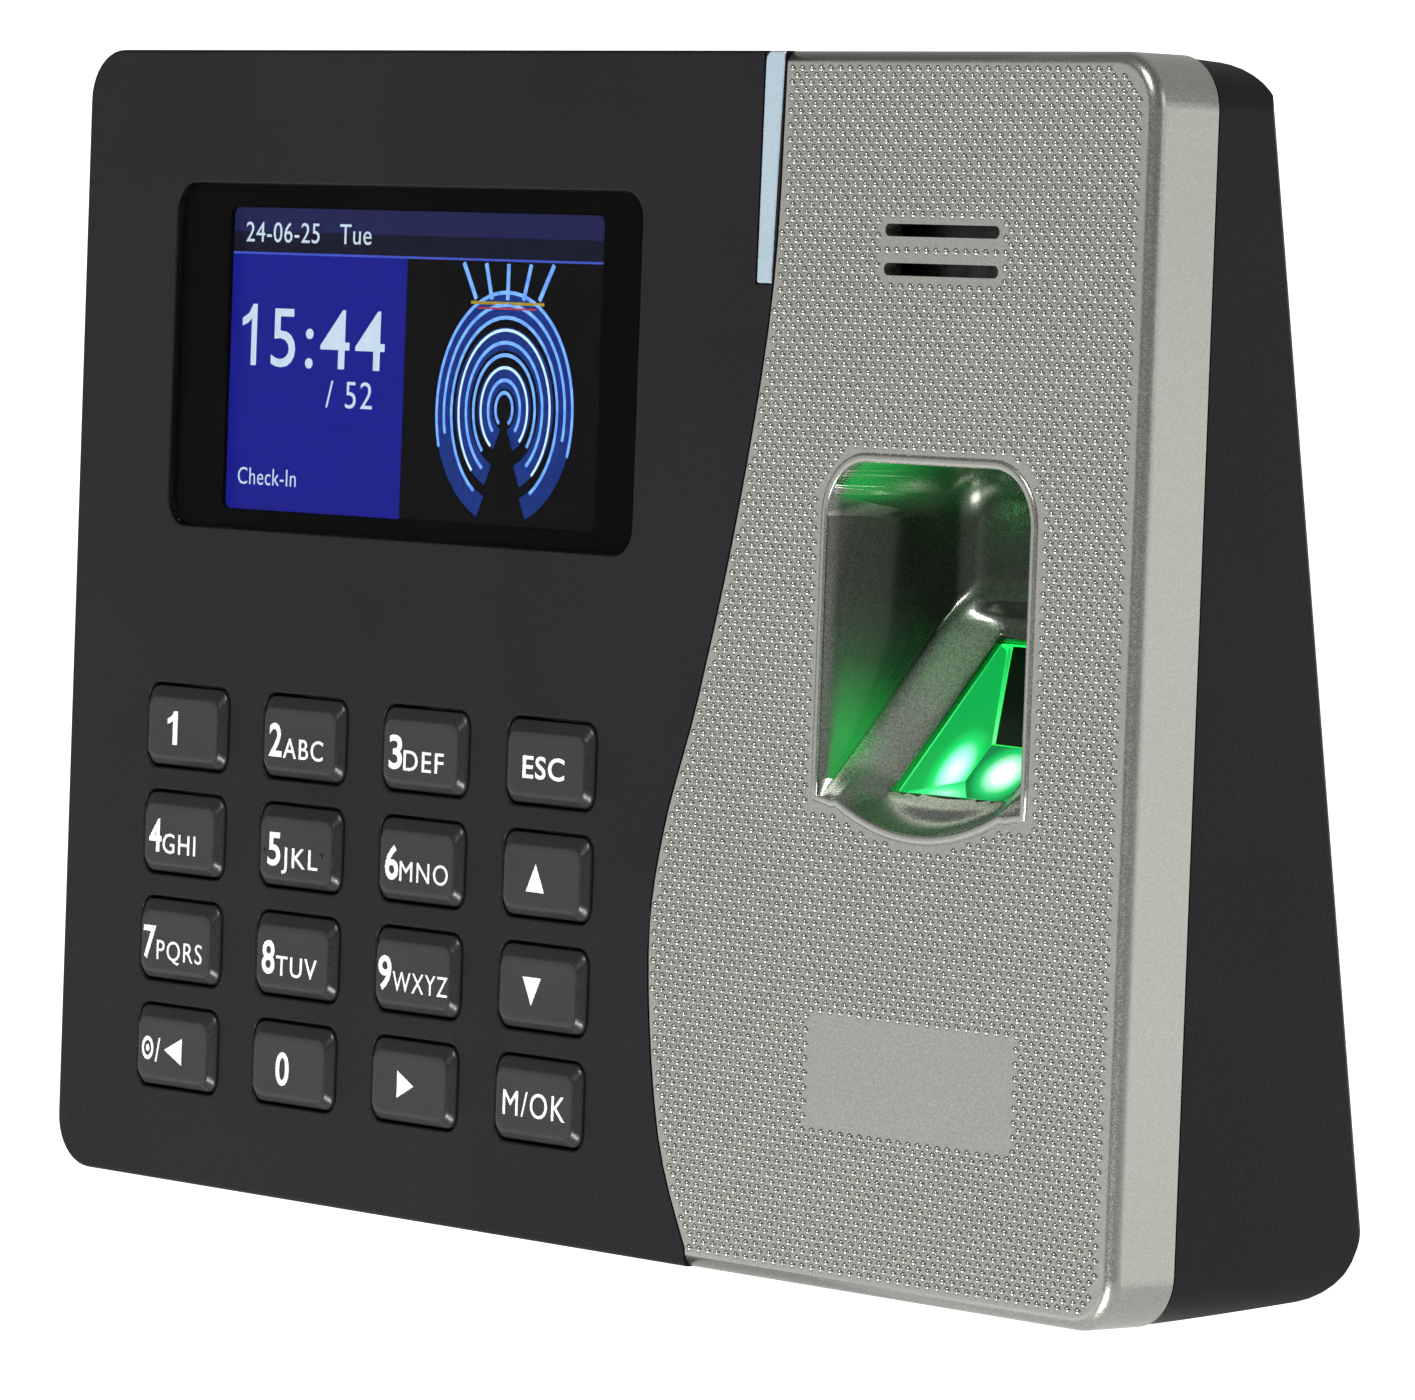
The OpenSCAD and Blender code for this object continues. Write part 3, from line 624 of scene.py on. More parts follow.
def well_depth(x, z):
    """Depth of the well's skin below the front face at (x, z)."""
    e = max(well_inside(x, z), 0.0)
    r = 4.2
    if e < r:
        pocket = FW_D - (r - math.sqrt(max(r * r - (r - e) ** 2, 0.0)))
    else:
        pocket = FW_D
    tan_r = math.tan(RAMP)
    y_plane = (z - FW_BOT) / tan_r
    s = math.hypot(y_plane, z - FW_BOT)
    fade = min(max((29.6 - s) / 3.4, 0.0), 1.0)
    fade = fade * fade * (3 - 2 * fade)
    w = min(max((z - (FW_BOT - trough_depth(x) / math.cos(RAMP))) / 3.6, 0.0), 1.0)
    w = w * w * (3 - 2 * w)
    bed = trough_depth(x) * (1 - w) + trough_floor(x) * w
    y_ramp = y_plane + bed * fade / math.sin(RAMP)
    side = FW_W / 2 - abs(x - FW_X)
    if side < 0.7:
        y_ramp += 0.75 * (1 - side / 0.7) ** 2
    lip = z - (FW_BOT - trough_depth(x) / math.cos(RAMP))
    if 0 < lip < 2.9 and trough_depth(x) > 0:
        q = lip / 2.9
        y_ramp += 1.15 * min(trough_depth(x) / 1.0, 1.0) * math.sin(math.pi * q) * (1 - q) ** 0.6
    return smin(pocket, y_ramp, 1.1)


def well_cutter():
    """Closed body of the air in the well and out past the front face."""
    xs, zs = [], []
    step = 0.46
    # columns across the opening
    n = int(FW_W / step)
    xs = [FW_X - FW_W / 2 + FW_W * i / n for i in range(n + 1)]
    cols = []
    top = FW_Z + FW_H / 2
    m = 84
    for x in xs:
        dx = FW_W / 2 - abs(x - FW_X)
        if dx < 6.0:
            zt = top - (6.0 - math.sqrt(max(36 - (6 - dx) ** 2, 0.0)))
        else:
            zt = top
        # the trough dips below the well's lower edge at the front face
        zb = FW_BOT - trough_depth(x) / math.cos(RAMP)
        cols.append([zb + (zt - zb) * (1 - math.cos(math.pi * j / m)) / 2 for j in range(m + 1)])
    verts, faces = [], []
    idx = {}
    for i, x in enumerate(xs):
        for j in range(m + 1):
            z = cols[i][j]
            idx[i, j] = len(verts)
            y = well_depth(x, z)
            if j == 0:
                y = 0.0
            verts.append((x, max(y, 0.0), z))
    for i in range(len(xs) - 1):
        for j in range(m):
            faces.append((idx[i, j], idx[i, j + 1], idx[i + 1, j + 1], idx[i + 1, j]))
    # rim loop, then straight out to y = -3
    loop = [idx[i, 0] for i in range(len(xs))] + [idx[len(xs) - 1, j] for j in range(1, m + 1)] \
        + [idx[i, m] for i in range(len(xs) - 2, -1, -1)] + [idx[0, j] for j in range(m - 1, 0, -1)]
    out = []
    for k in loop:
        v = verts[k]
        out.append(len(verts))
        verts.append((v[0], -3.0, v[2]))
    for a in range(len(loop)):
        b = (a + 1) % len(loop)
        faces.append((loop[a], loop[b], out[b], out[a]))
    faces.append(tuple(out))
    o = new_obj("tmp_cut", verts, faces, M["silver"], None)
    fix_normals(o)
    return o


def box_obj(name, x0, x1, y0, y1, z0, z1, mat, body="case", xf=FACE):
    v = [(x, y, z) for x in (x0, x1) for y in (y0, y1) for z in (z0, z1)]
    f = [(0, 1, 3, 2), (4, 6, 7, 5), (0, 4, 5, 1), (2, 3, 7, 6), (0, 2, 6, 4), (1, 5, 7, 3)]
    o = new_obj(name, v, f, mat, body, smooth=False, xf=xf)
    fix_normals(o)
    return o


READER = FACE @ Matrix.Translation((59.3, 12.1, 62.5)) @ Matrix.Rotation(RAMP, 4, "X")

# the cover's own body, with its big outer fillet
cover = weld(copy_node("side_fascia", "tmp_cover", M["silver"]))
boolean(cover, envelope("tmp_env2", 1.5, 8, 14.0, 12), "INTERSECT")
# fill the CAD opening, then cut the smooth one; the well's block stands behind it
block_rings = []
for inset, y in ((0.0, 1.2), (0.0, 16.0), (0.5, 19.0), (1.6, 20.9), (3.2, 21.75)):
    block_rings.append([(x, y, z) for x, z in rrect(FW_W + 2.6 - 2 * inset, 43.4 - 2 * inset, max(7.3 - inset, 1.5), 8, FW_X, 69.4)])
v, f = loft(block_rings)
block = new_obj("tmp_block", v, f, M["silver"], None)
fix_normals(block)
# take the space under the ramp out of the block
under = box_obj("tmp_under", -30, 30, -70, 70, -60, -3.0, M["silver"], None, xf=READER)
boolean(block, under)
fill = box_obj("tmp_fill", FW_X - FW_W / 2 - 0.6, FW_X + FW_W / 2 + 0.6, 0.0, 2.4, 49.0, FW_Z + FW_H / 2 + 0.6, M["silver"], None)
boolean(cover, fill, "UNION")
boolean(cover, block, "UNION")
boolean(cover, well_cutter())
win = box_obj("tmp_win", -9.15, 9.15, -11.15, 11.15, -12, 12, M["silver"], None, xf=READER)
boolean(cover, win)
close_cracks(cover)
cover.name = "silver_cover"
shade(cover, 50)
flat_normals(cover)
give(cover, M["silver"])
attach(cover, "case")
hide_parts("side_fascia", "finger_well")


# ---- raised rim round the well
def rim():
    pts = []
    n = 10
    x0, x1 = FW_X - FW_W / 2, FW_X + FW_W / 2
    top = FW_Z + FW_H / 2
    r = 6.0
    pts.append((x0, FW_BOT + 0.2))
    pts += [(x0, FW_BOT + k * 3.0) for k in range(1, 10)]
    for i in range(n + 1):
        a = math.radians(180 - 90 * i / n)
        pts.append((x0 + r + r * math.cos(a), top - r + r * math.sin(a)))
    for i in range(n + 1):
        a = math.radians(90 - 90 * i / n)
        pts.append((x1 - r + r * math.cos(a), top - r + r * math.sin(a)))
    pts += [(x1, FW_BOT + k * 3.0) for k in range(9, 0, -1)]
    pts.append((x1, FW_BOT + 0.2))
    # lower lip along the trough
    hw = 12.8
    pts.append((FW_X + hw + 1.0, FW_BOT - 0.05))
    for i in range(0, 25):
        x = FW_X + hw - 2 * hw * i / 24
        pts.append((x, FW_BOT - trough_depth(x) / math.cos(RAMP)))
    pts.append((FW_X - hw - 1.0, FW_BOT - 0.05))
    prof = [(0.0, 0.12), (-0.02, -0.1), (0.14, -0.2), (0.42, -0.24), (0.74, -0.2), (0.98, -0.08), (1.06, 0.12)]
    m = len(pts)
    rings = []
    for k in range(m):
        a, b = pts[k - 1], pts[(k + 1) % m]
        t = Vector((b[0] - a[0], b[1] - a[1])).normalized()
        out = Vector((-t[1], t[0]))
        rings.append([(pts[k][0] + out[0] * q, y, pts[k][1] + out[1] * q) for q, y in prof])
    verts = [p for r_ in rings for p in r_]
    w = len(prof)
    faces = []
    for k in range(m):
        k2 = (k + 1) % m
        for i in range(w):
            j = (i + 1) % w
            faces.append((k * w + i, k * w + j, k2 * w + j, k2 * w + i))
    o = new_obj("well_rim", verts, faces, M["silver"])
    fix_normals(o)
    return o


rim()


# ---- raised domes over the silver cover
def domes(name, z_lo, z_hi):
    pitch = 1.555
    verts, faces = [], []
    seg = 7
    prof = [(0.455, 0.06), (0.42, -0.11), (0.25, -0.275)]
    inner = lambda x, z, m: min(W / 2 - m - abs(x), z - m, H - m - z)  # noqa: E731

    def ok(x, z):
        if x < div_x(z) + 0.3 + 0.55:
            return False
        # outline, with its round corners
        m = 2.3
        dx, dz = W / 2 - m - x, min(z - 1.5, H - 1.75 - z)
        if dx < 0 or dz < 0:
            return False
        r = 5.0
        if dx < r and dz < r and math.hypot(r - dx, r - dz) > r:
            return False
        if 43.5 - 0.4 < x < 75.1 + 0.4 and 17.4 - 0.3 < z < 29.2 + 0.3:
            return False
        if abs(x - FW_X) < FW_W / 2 + 1.75 and z > FW_BOT - 0.4 and well_inside(x, z, 1.75) > 0:
            return False
        if abs(x - FW_X) < 14.4 and z > FW_BOT - trough_depth(x) / math.cos(RAMP) - 1.75 and z < FW_BOT + 4:
            return False
        if abs(x - FW_X) < FW_W / 2 + 1.6 and FW_BOT - 1.5 < z < FW_BOT + 2:
            return False
        for zc in (114.8, 110.6):
            if abs(x - 59.8) < 9 + 0.75 and abs(z - zc) < 0.68 + 0.75:
                return False
        return inner(x, z, 1.2) > 0

    count = 0
    for half in (0, 1):
        for i in range(0, 62):
            for j in range(0, 90):
                x = 90.1 - i * pitch - half * pitch / 2
                z = 2.2 + j * pitch + half * pitch / 2
                if x < 14 or z > H or not z_lo <= z < z_hi or not ok(x, z):
                    continue
                base = len(verts)
                for q, y in prof:
                    for k in range(seg):
                        a = 2 * math.pi * k / seg
                        verts.append((x + q * math.cos(a), y, z + q * math.sin(a)))
                verts.append((x, -0.33, z))
                for rr in range(len(prof) - 1):
                    for k in range(seg):
                        k2 = (k + 1) % seg
                        faces.append((base + rr * seg + k, base + rr * seg + k2, base + (rr + 1) * seg + k2, base + (rr + 1) * seg + k))
                tip = base + len(prof) * seg
                last = base + (len(prof) - 1) * seg
                for k in range(seg):
                    faces.append((last + k, last + (k + 1) % seg, tip))
                faces.append(tuple(base + k for k in range(seg))[::-1])
                count += 1
    o = new_obj(name, verts, faces, M["silver"])
    print("domes", count)
    return o


domes("cover_domes_low", 0, 67)
domes("cover_domes_high", 67, 140)

# ---- light bar with rounded corners
bar_out = []


def bar_ring(inset, y):
    a = [(30.3 + inset, 134 - inset), (33.55 - inset, 134 - inset), (32.55 - inset, 108.6 + inset), (30.05 + inset, 108.6 + inset)]
    rad = [1.1, 0.25, 0.2, 0.25]
    out = []
    for k in range(4):
        p, q, n = Vector(a[k - 1]), Vector(a[k]), Vector(a[(k + 1) % 4])
        d0, d1 = (p - q).normalized(), (n - q).normalized()
        r = rad[k]
        for t in range(6):
            s = t / 5
            out.append(tuple(q + d0 * r * (1 - s) ** 2 + d1 * r * s ** 2))
    return [(x, y, z) for x, z in out]


v, f = loft([bar_ring(0.3, 0.0), bar_ring(0.09, 0.09), bar_ring(0.0, 0.3), bar_ring(0.0, 4.6)])
bar = new_obj("light_guide_bar", v, f, M["bar"])
fix_normals(bar)
shade(bar, 45)
flat_normals(bar)
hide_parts("light_bar")

# ---- screen
LX, LZ, LW, LH = -31.7, 98.1, 84.4, 40.2
DX, DZ, DW, DH = -30.85, 97.9, 68.0, 35.4


def lens():
    rings = []
    for inset, y in ((0.28, 0.10), (0.08, 0.16), (0.0, 0.34), (0.0, 0.95)):
        rings.append([(x, y, z) for x, z in rrect(LW - 2 * inset, LH - 2 * inset, 3 - inset, 8, LX, LZ)])
    v, f = loft(rings)
    o = new_obj("screen_glass", v, f, M["glass"])
    fix_normals(o)
    shade(o, 40)
    flat_normals(o)
    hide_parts("screen_lens")
    return o


lens()


def plate_with_hole(name, outer, inner, y0, y1, mat):
    n = len(outer)
    verts = [(x, y0, z) for x, z in outer] + [(x, y0, z) for x, z in inner] \
        + [(x, y1, z) for x, z in outer] + [(x, y1, z) for x, z in inner]
    faces = []
    for i in range(n):
        j = (i + 1) % n
        faces.append((i, j, n + j, n + i))
        faces.append((2 * n + i, 3 * n + i, 3 * n + j, 2 * n + j))
        faces.append((i, 2 * n + i, 2 * n + j, j))
        faces.append((n + i, n + j, 3 * n + j, 3 * n + i))
    o = new_obj(name, verts, faces, mat, smooth=False)
    fix_normals(o)
    return o


plate_with_hole("screen_border", rrect(LW - 0.1, LH - 0.1, 2.95, 8, LX, LZ), rrect(DW, DH, 1.0, 8, DX, DZ), 1.0, 1.55, M["mask"])

# picture on the panel: thin lit layers just behind the border
S = {}
S["base"] = glowing("pix_black", (0.0035, 0.0035, 0.004), (0.006, 0.006, 0.007), 0.5)


def lit(name, a, b, strength):
    return glowing(name, a, b, strength, 900.0, 0.35)


S["blue"] = lit("pix_blue", (0.0085, 0.0105, 0.26), (0.0115, 0.014, 0.32), 0.95)
S["head"] = lit("pix_header", (0.014, 0.016, 0.075), (0.02, 0.024, 0.11), 0.9)
S["head2"] = lit("pix_header_low", (0.007, 0.008, 0.022), (0.010, 0.011, 0.03), 0.9)
S["line"] = lit("pix_line", (0.05, 0.08, 0.5), (0.07, 0.11, 0.62), 1.1)
S["text"] = lit("pix_text", (0.62, 0.78, 0.93), (0.68, 0.84, 0.97), 0.95)
S["wire"] = lit("pix_wire", (0.10, 0.28, 0.95), (0.22, 0.48, 1.0), 1.3)
S["wire2"] = lit("pix_wire_bright", (0.42, 0.66, 1.0), (0.55, 0.78, 1.0), 1.4)
S["deep"] = lit("pix_deep", (0.010, 0.03, 0.20), (0.014, 0.05, 0.30), 0.9)
S["gold"] = lit("pix_gold", (0.42, 0.30, 0.02), (0.58, 0.42, 0.05), 0.8)
S["red"] = lit("pix_red", (0.5, 0.04, 0.05), (0.65, 0.08, 0.08), 0.8)

Y_PIC = 1.98


def layer(name, poly, y, mat, t=0.012):
    """A lit shape of small thickness t; poly is a list of (x, z) on the panel."""
    n = len(poly)
    verts = [(x, y, z) for x, z in poly] + [(x, y + t, z) for x, z in poly]
    faces = [tuple(range(n)), tuple(range(2 * n - 1, n - 1, -1))]
    for i in range(n):
        j = (i + 1) % n
        faces.append((i, n + i, n + j, j))
    o = new_obj(name, verts, faces, mat, smooth=False)
    fix_normals(o)
    return o


x0, x1 = DX - DW / 2, DX + DW / 2
z0, z1 = DZ - DH / 2, DZ + DH / 2
split = 59.2 - 92
layer("picture_base", [(x0 - 0.9, z0 - 0.7), (x1 + 0.9, z0 - 0.7), (x1 + 0.9, z1 + 0.7), (x0 - 0.9, z1 + 0.7)], Y_PIC, S["base"])
layer("picture_blue", [(x0 - 0.8, z0 - 0.6), (split, z0 - 0.6), (split, 134 - 23.85), (x0 - 0.8, 134 - 23.85)], Y_PIC - 0.02, S["blue"])
layer("picture_header_top", [(x0 - 0.8, 134 - 21.2), (x1 + 0.8, 134 - 21.2), (x1 + 0.8, z1 + 0.6), (x0 - 0.8, z1 + 0.6)], Y_PIC - 0.02, S["head"])
layer("picture_header_low", [(x0 - 0.8, 134 - 23.6), (x1 + 0.8, 134 - 23.6), (x1 + 0.8, 134 - 21.2), (x0 - 0.8, 134 - 21.2)], Y_PIC - 0.02, S["head2"])
layer("picture_header_line", [(x0 - 0.8, 134 - 23.85), (x1 + 0.8, 134 - 23.85), (x1 + 0.8, 134 - 23.6), (x0 - 0.8, 134 - 23.6)], Y_PIC - 0.03, S["line"])


def text_mesh(name, body_text, x, z, height, y, mat, sx=0.8, bold=0.0, thick=0.03, align="LEFT", body="case", shear=0.0, width=None, spacing=1.0):
    cu = bpy.data.curves.new(name, "FONT")
    cu.body = body_text
    cu.align_x = align
    cu.size = 1.0
    cu.offset = bold
    cu.shear = shear
    cu.space_character = spacing
    cu.resolution_u = 4
    o = bpy.data.objects.new(name, cu)
    bpy.context.scene.collection.objects.link(o)
    bpy.context.view_layer.update()
    dg = bpy.context.evaluated_depsgraph_get()
    me = bpy.data.meshes.new_from_object(o.evaluated_get(dg))
    bpy.data.objects.remove(o)
    # capital height of the built-in font is about 0.73 of its size
    k = height / 0.729
    bm = bmesh.new()
    bm.from_mesh(me)
    bmesh.ops.remove_doubles(bm, verts=bm.verts, dist=1e-5)
    ext = bmesh.ops.extrude_face_region(bm, geom=bm.faces[:])
    vs = [g for g in ext["geom"] if isinstance(g, bmesh.types.BMVert)]
    for v in vs:
        v.co.z += 1.0
    bmesh.ops.recalc_face_normals(bm, faces=bm.faces)
    off = 0.0
    if width:
        lo, hi = min(v.co.x for v in bm.verts), max(v.co.x for v in bm.verts)
        sx, off = width / ((hi - lo) * k), lo
    for v in bm.verts:
        px, pz, d = (v.co.x - off) * k * sx + x, v.co.y * k + z, v.co.z * thick
        v.co = Vector((px, y - d, pz))
    bmesh.ops.recalc_face_normals(bm, faces=bm.faces)
    bm.to_mesh(me)
    bm.free()
    me.transform(FACE)
    me.materials.clear()
    me.materials.append(mat)
    for p in me.polygons:
        p.use_smooth = False
        p.material_index = 0
    ob = bpy.data.objects.new(name, me)
    bpy.context.scene.collection.objects.link(ob)
    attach(ob, body)
    return ob


YT = Y_PIC - 0.035
text_mesh("picture_date", "24-06-25   Tue", x0 + 1.8, 134 - 22.4, 2.45, YT, S["text"], 0.86, 0.0, 0.012, width=23.5, spacing=1.05)
text_mesh("picture_hours", "5:44", x0 + 7.2, 134 - 36.9, 7.2, YT, S["text"], 0.80, 0.002, 0.012, width=21.2, spacing=1.12)
ONE = [(0.0, 0.0), (1.0, 0.0), (1.0, 7.2), (0.25, 7.2), (-0.55, 6.1), (-1.75, 5.5), (-1.75, 4.6), (-0.7, 4.95), (0.0, 5.5)]
layer("picture_hours_one", [(x0 + 3.4 + a_, 134 - 36.9 + b_) for a_, b_ in ONE], YT - 0.012, S["text"])
text_mesh("picture_seconds", "/ 52", x0 + 17.8, 134 - 41.4, 3.3, YT, S["text"], 0.80, -0.004, 0.012, width=8.6, spacing=1.1)
text_mesh("picture_state", "Check-In", x0 + 1.7, 134 - 50.9, 2.1, YT, S["text"], 0.74, -0.004, 0.012, width=11.0, spacing=1.06)


def stroke(pts, w):
    """Outline polygons of a stroke of width w through (x, z) points, as quads."""
    quads = []
    L, Rr = [], []
    n = len(pts)
    for i in range(n):
        a, b = pts[max(i - 1, 0)], pts[min(i + 1, n - 1)]
        t = Vector((b[0] - a[0], b[1] - a[1]))
        t = t.normalized() if t.length > 1e-9 else Vector((1, 0))
        nrm = Vector((-t[1], t[0])) * w / 2
        L.append((pts[i][0] + nrm[0], pts[i][1] + nrm[1]))
        Rr.append((pts[i][0] - nrm[0], pts[i][1] - nrm[1]))
    return L, Rr


def strokes(name, lines, w, y, mat, t=0.012):
    verts, faces = [], []
    for pts in lines:
        L, Rr = stroke(pts, w)
        n = len(L)
        b = len(verts)
        verts += [(x, y, z) for x, z in L] + [(x, y, z) for x, z in Rr] + [(x, y + t, z) for x, z in L] + [(x, y + t, z) for x, z in Rr]
        for i in range(n - 1):
            faces += [(b + i, b + i + 1, b + n + i + 1, b + n + i),
                      (b + 2 * n + i, b + 3 * n + i, b + 3 * n + i + 1, b + 2 * n + i + 1),
                      (b + i, b + 2 * n + i, b + 2 * n + i + 1, b + i + 1),
                      (b + n + i, b + n + i + 1, b + 3 * n + i + 1, b + 3 * n + i)]
        faces += [(b, b + n, b + 3 * n, b + 2 * n), (b + n - 1, b + 3 * n - 1, b + 4 * n - 1, b + 2 * n - 1)]
    o = new_obj(name, verts, faces, mat, smooth=False)
    fix_normals(o)
    return o


# generic fingerprint drawn in glowing blue arcs on the dark half
cx, cz = (split + x1) / 2 + 0.3, 134 - 40.6
arcs, bright = [], []
for k in range(9):
    a, b = 1.5 + 1.32 * k, 1.9 + 1.42 * k
    lo, hi = (-58 + 6 * (k % 3), 238 - 8 * (k % 2)) if k % 2 == 0 else (-40 - 5 * (k % 3), 222 + 6 * (k % 2))
    if k > 6:
        lo, hi = -8 - 6 * (k - 6), 188 + 5 * (k - 6)
    pts = [(cx + a * math.cos(math.radians(t)), cz + b * math.sin(math.radians(t)) - 0.05 * k * (1 - math.sin(math.radians(t))))
           for t in [lo + (hi - lo) * i / 40 for i in range(41)]]
    (bright if k in (2, 5) else arcs).append(pts)
halo = [[(cx + (a + 0.0) * math.cos(math.radians(t)), cz + 1.08 * a * math.sin(math.radians(t))) for t in range(-70, 251, 8)] for a in (3.4, 7.4, 11.0)]
strokes("picture_glow", halo, 2.6, Y_PIC - 0.02, S["deep"])
strokes("picture_arcs", arcs, 0.42, Y_PIC - 0.04, S["wire"])
strokes("picture_arcs_bright", bright, 0.34, Y_PIC - 0.045, S["wire2"])
# scan beam above it
strokes("picture_beam", [[(cx - 8 + 4 * k, 134 - 24.1), (cx - 5.6 + 2.8 * k, 134 - 28.2)] for k in range(5)], 0.6, Y_PIC - 0.03, S["wire"])
strokes("picture_scan_gold", [[(cx - 6.5, 134 - 28.6), (cx + 6.5, 134 - 28.6)]], 0.36, Y_PIC - 0.04, S["gold"])
strokes("picture_scan_red", [[(cx - 5.2, 134 - 29.2), (cx + 5.2, 134 - 29.2)]], 0.2, Y_PIC - 0.045, S["red"])

# ------------------------------------------------------------------ keys
KEYS = [("key_1", 0, 0), ("key_2", 1, 0), ("key_3", 2, 0), ("key_esc", 3, 0),
        ("key_4", 0, 1), ("key_5", 1, 1), ("key_6", 2, 1), ("key_up_arrow", 3, 1),
        ("key_7", 0, 2), ("key_8", 1, 2), ("key_9", 2, 2), ("key_down_arrow", 3, 2),
        ("key_back", 0, 3), ("key_0", 1, 3), ("key_next", 2, 3), ("key_ok", 3, 3)]


def cap_mesh(kx, kz):
    prof = [(17.0, 11.3, 1.2, 3.50, 0), (17.0, 11.3, 1.2, 2.80, 0), (15.0, 9.4, 1.6, 2.78, 0), (15.0, 9.4, 1.6, 0.34, 0),
            (14.96, 9.36, 1.6, 0.14, 0.0), (14.84, 9.22, 1.58, 0.0, -0.01), (14.55, 8.8, 1.54, -0.16, -0.05),
            (14.05, 8.1, 1.46, -0.42, -0.14), (13.72, 7.62, 1.4, -0.60, -0.20), (13.52, 7.34, 1.34, -0.70, -0.235),
            (13.28, 7.06, 1.25, -0.765, -0.25), (12.9, 6.7, 1.12, -0.795, -0.25), (12.0, 5.9, 0.9, -0.797, -0.25),
            (9.0, 3.8, 0.6, -0.77, -0.25), (4.0, 1.2, 0.3, -0.755, -0.25)]
    rings = [[(x, y, z) for x, z in rrect(w, h, r, 6, kx, kz + dz)] for w, h, r, y, dz in prof]
    v, f = loft(rings)
    n = len(v)
    st = []
    for y in (3.4, 4.8, 5.0):
        rad = 2.7 if y < 4.9 else 2.5
        st.append([(kx + rad * math.cos(2 * math.pi * i / 24), y, kz + rad * math.sin(2 * math.pi * i / 24)) for i in range(24)])
    v2, f2 = loft(st)
    return v + v2, f + [tuple(i + n for i in q) for q in f2]


def tri_mesh(name, pts, y, body):
    n = len(pts)
    verts = [(x, y, z) for x, z in pts] + [(x, y - 0.035, z) for x, z in pts]
    faces = [tuple(range(n)), tuple(range(2 * n - 1, n - 1, -1))] + [(i, n + i, n + (i + 1) % n, (i + 1) % n) for i in range(n)]
    o = new_obj(name, verts, faces, M["legend"], body, smooth=False)
    fix_normals(o)
    return o


def ring_mesh(name, cx_, cz_, r0, r1, y, body, sq=1.25):
    n = 28
    outer = [(cx_ + r1 * math.cos(2 * math.pi * i / n), cz_ + sq * r1 * math.sin(2 * math.pi * i / n)) for i in range(n)]
    inn = [(cx_ + r0 * math.cos(2 * math.pi * i / n), cz_ + sq * r0 * math.sin(2 * math.pi * i / n)) for i in range(n)]
    verts = [(x, y, z) for x, z in outer] + [(x, y, z) for x, z in inn] + [(x, y - 0.035, z) for x, z in outer] + [(x, y - 0.035, z) for x, z in inn]
    faces = []
    for i in range(n):
        j = (i + 1) % n
        faces += [(i, j, n + j, n + i), (2 * n + i, 3 * n + i, 3 * n + j, 2 * n + j), (i, 2 * n + i, 2 * n + j, j), (n + i, n + j, 3 * n + j, 3 * n + i)]
    o = new_obj(name, verts, faces, M["legend"], body, smooth=False)
    fix_normals(o)
    return o


LET = {"key_2": ("2", "ABC"), "key_3": ("3", "DEF"), "key_4": ("4", "GHI"), "key_5": ("5", "JKL"), "key_6": ("6", "MNO"),
       "key_7": ("7", "PQRS"), "key_8": ("8", "TUV"), "key_9": ("9", "WXYZ")}
START = {"key_2": (-5.7, 10.1), "key_3": (-5.7, 9.9), "key_4": (-5.85, 9.0), "key_5": (-5.3, 9.4), "key_6": (-5.7, 11.4),
         "key_7": (-6.3, 11.4), "key_8": (-5.7, 10.3), "key_9": (-6.3, 12.6)}
ONE_KEY = [(0.0, 0.0), (1.45, 0.0), (1.45, 7.1), (0.35, 7.1), (-0.5, 6.0), (-1.7, 5.5), (-1.7, 4.3), (-0.7, 4.6), (0.0, 5.1)]
Y_LEG = -0.775
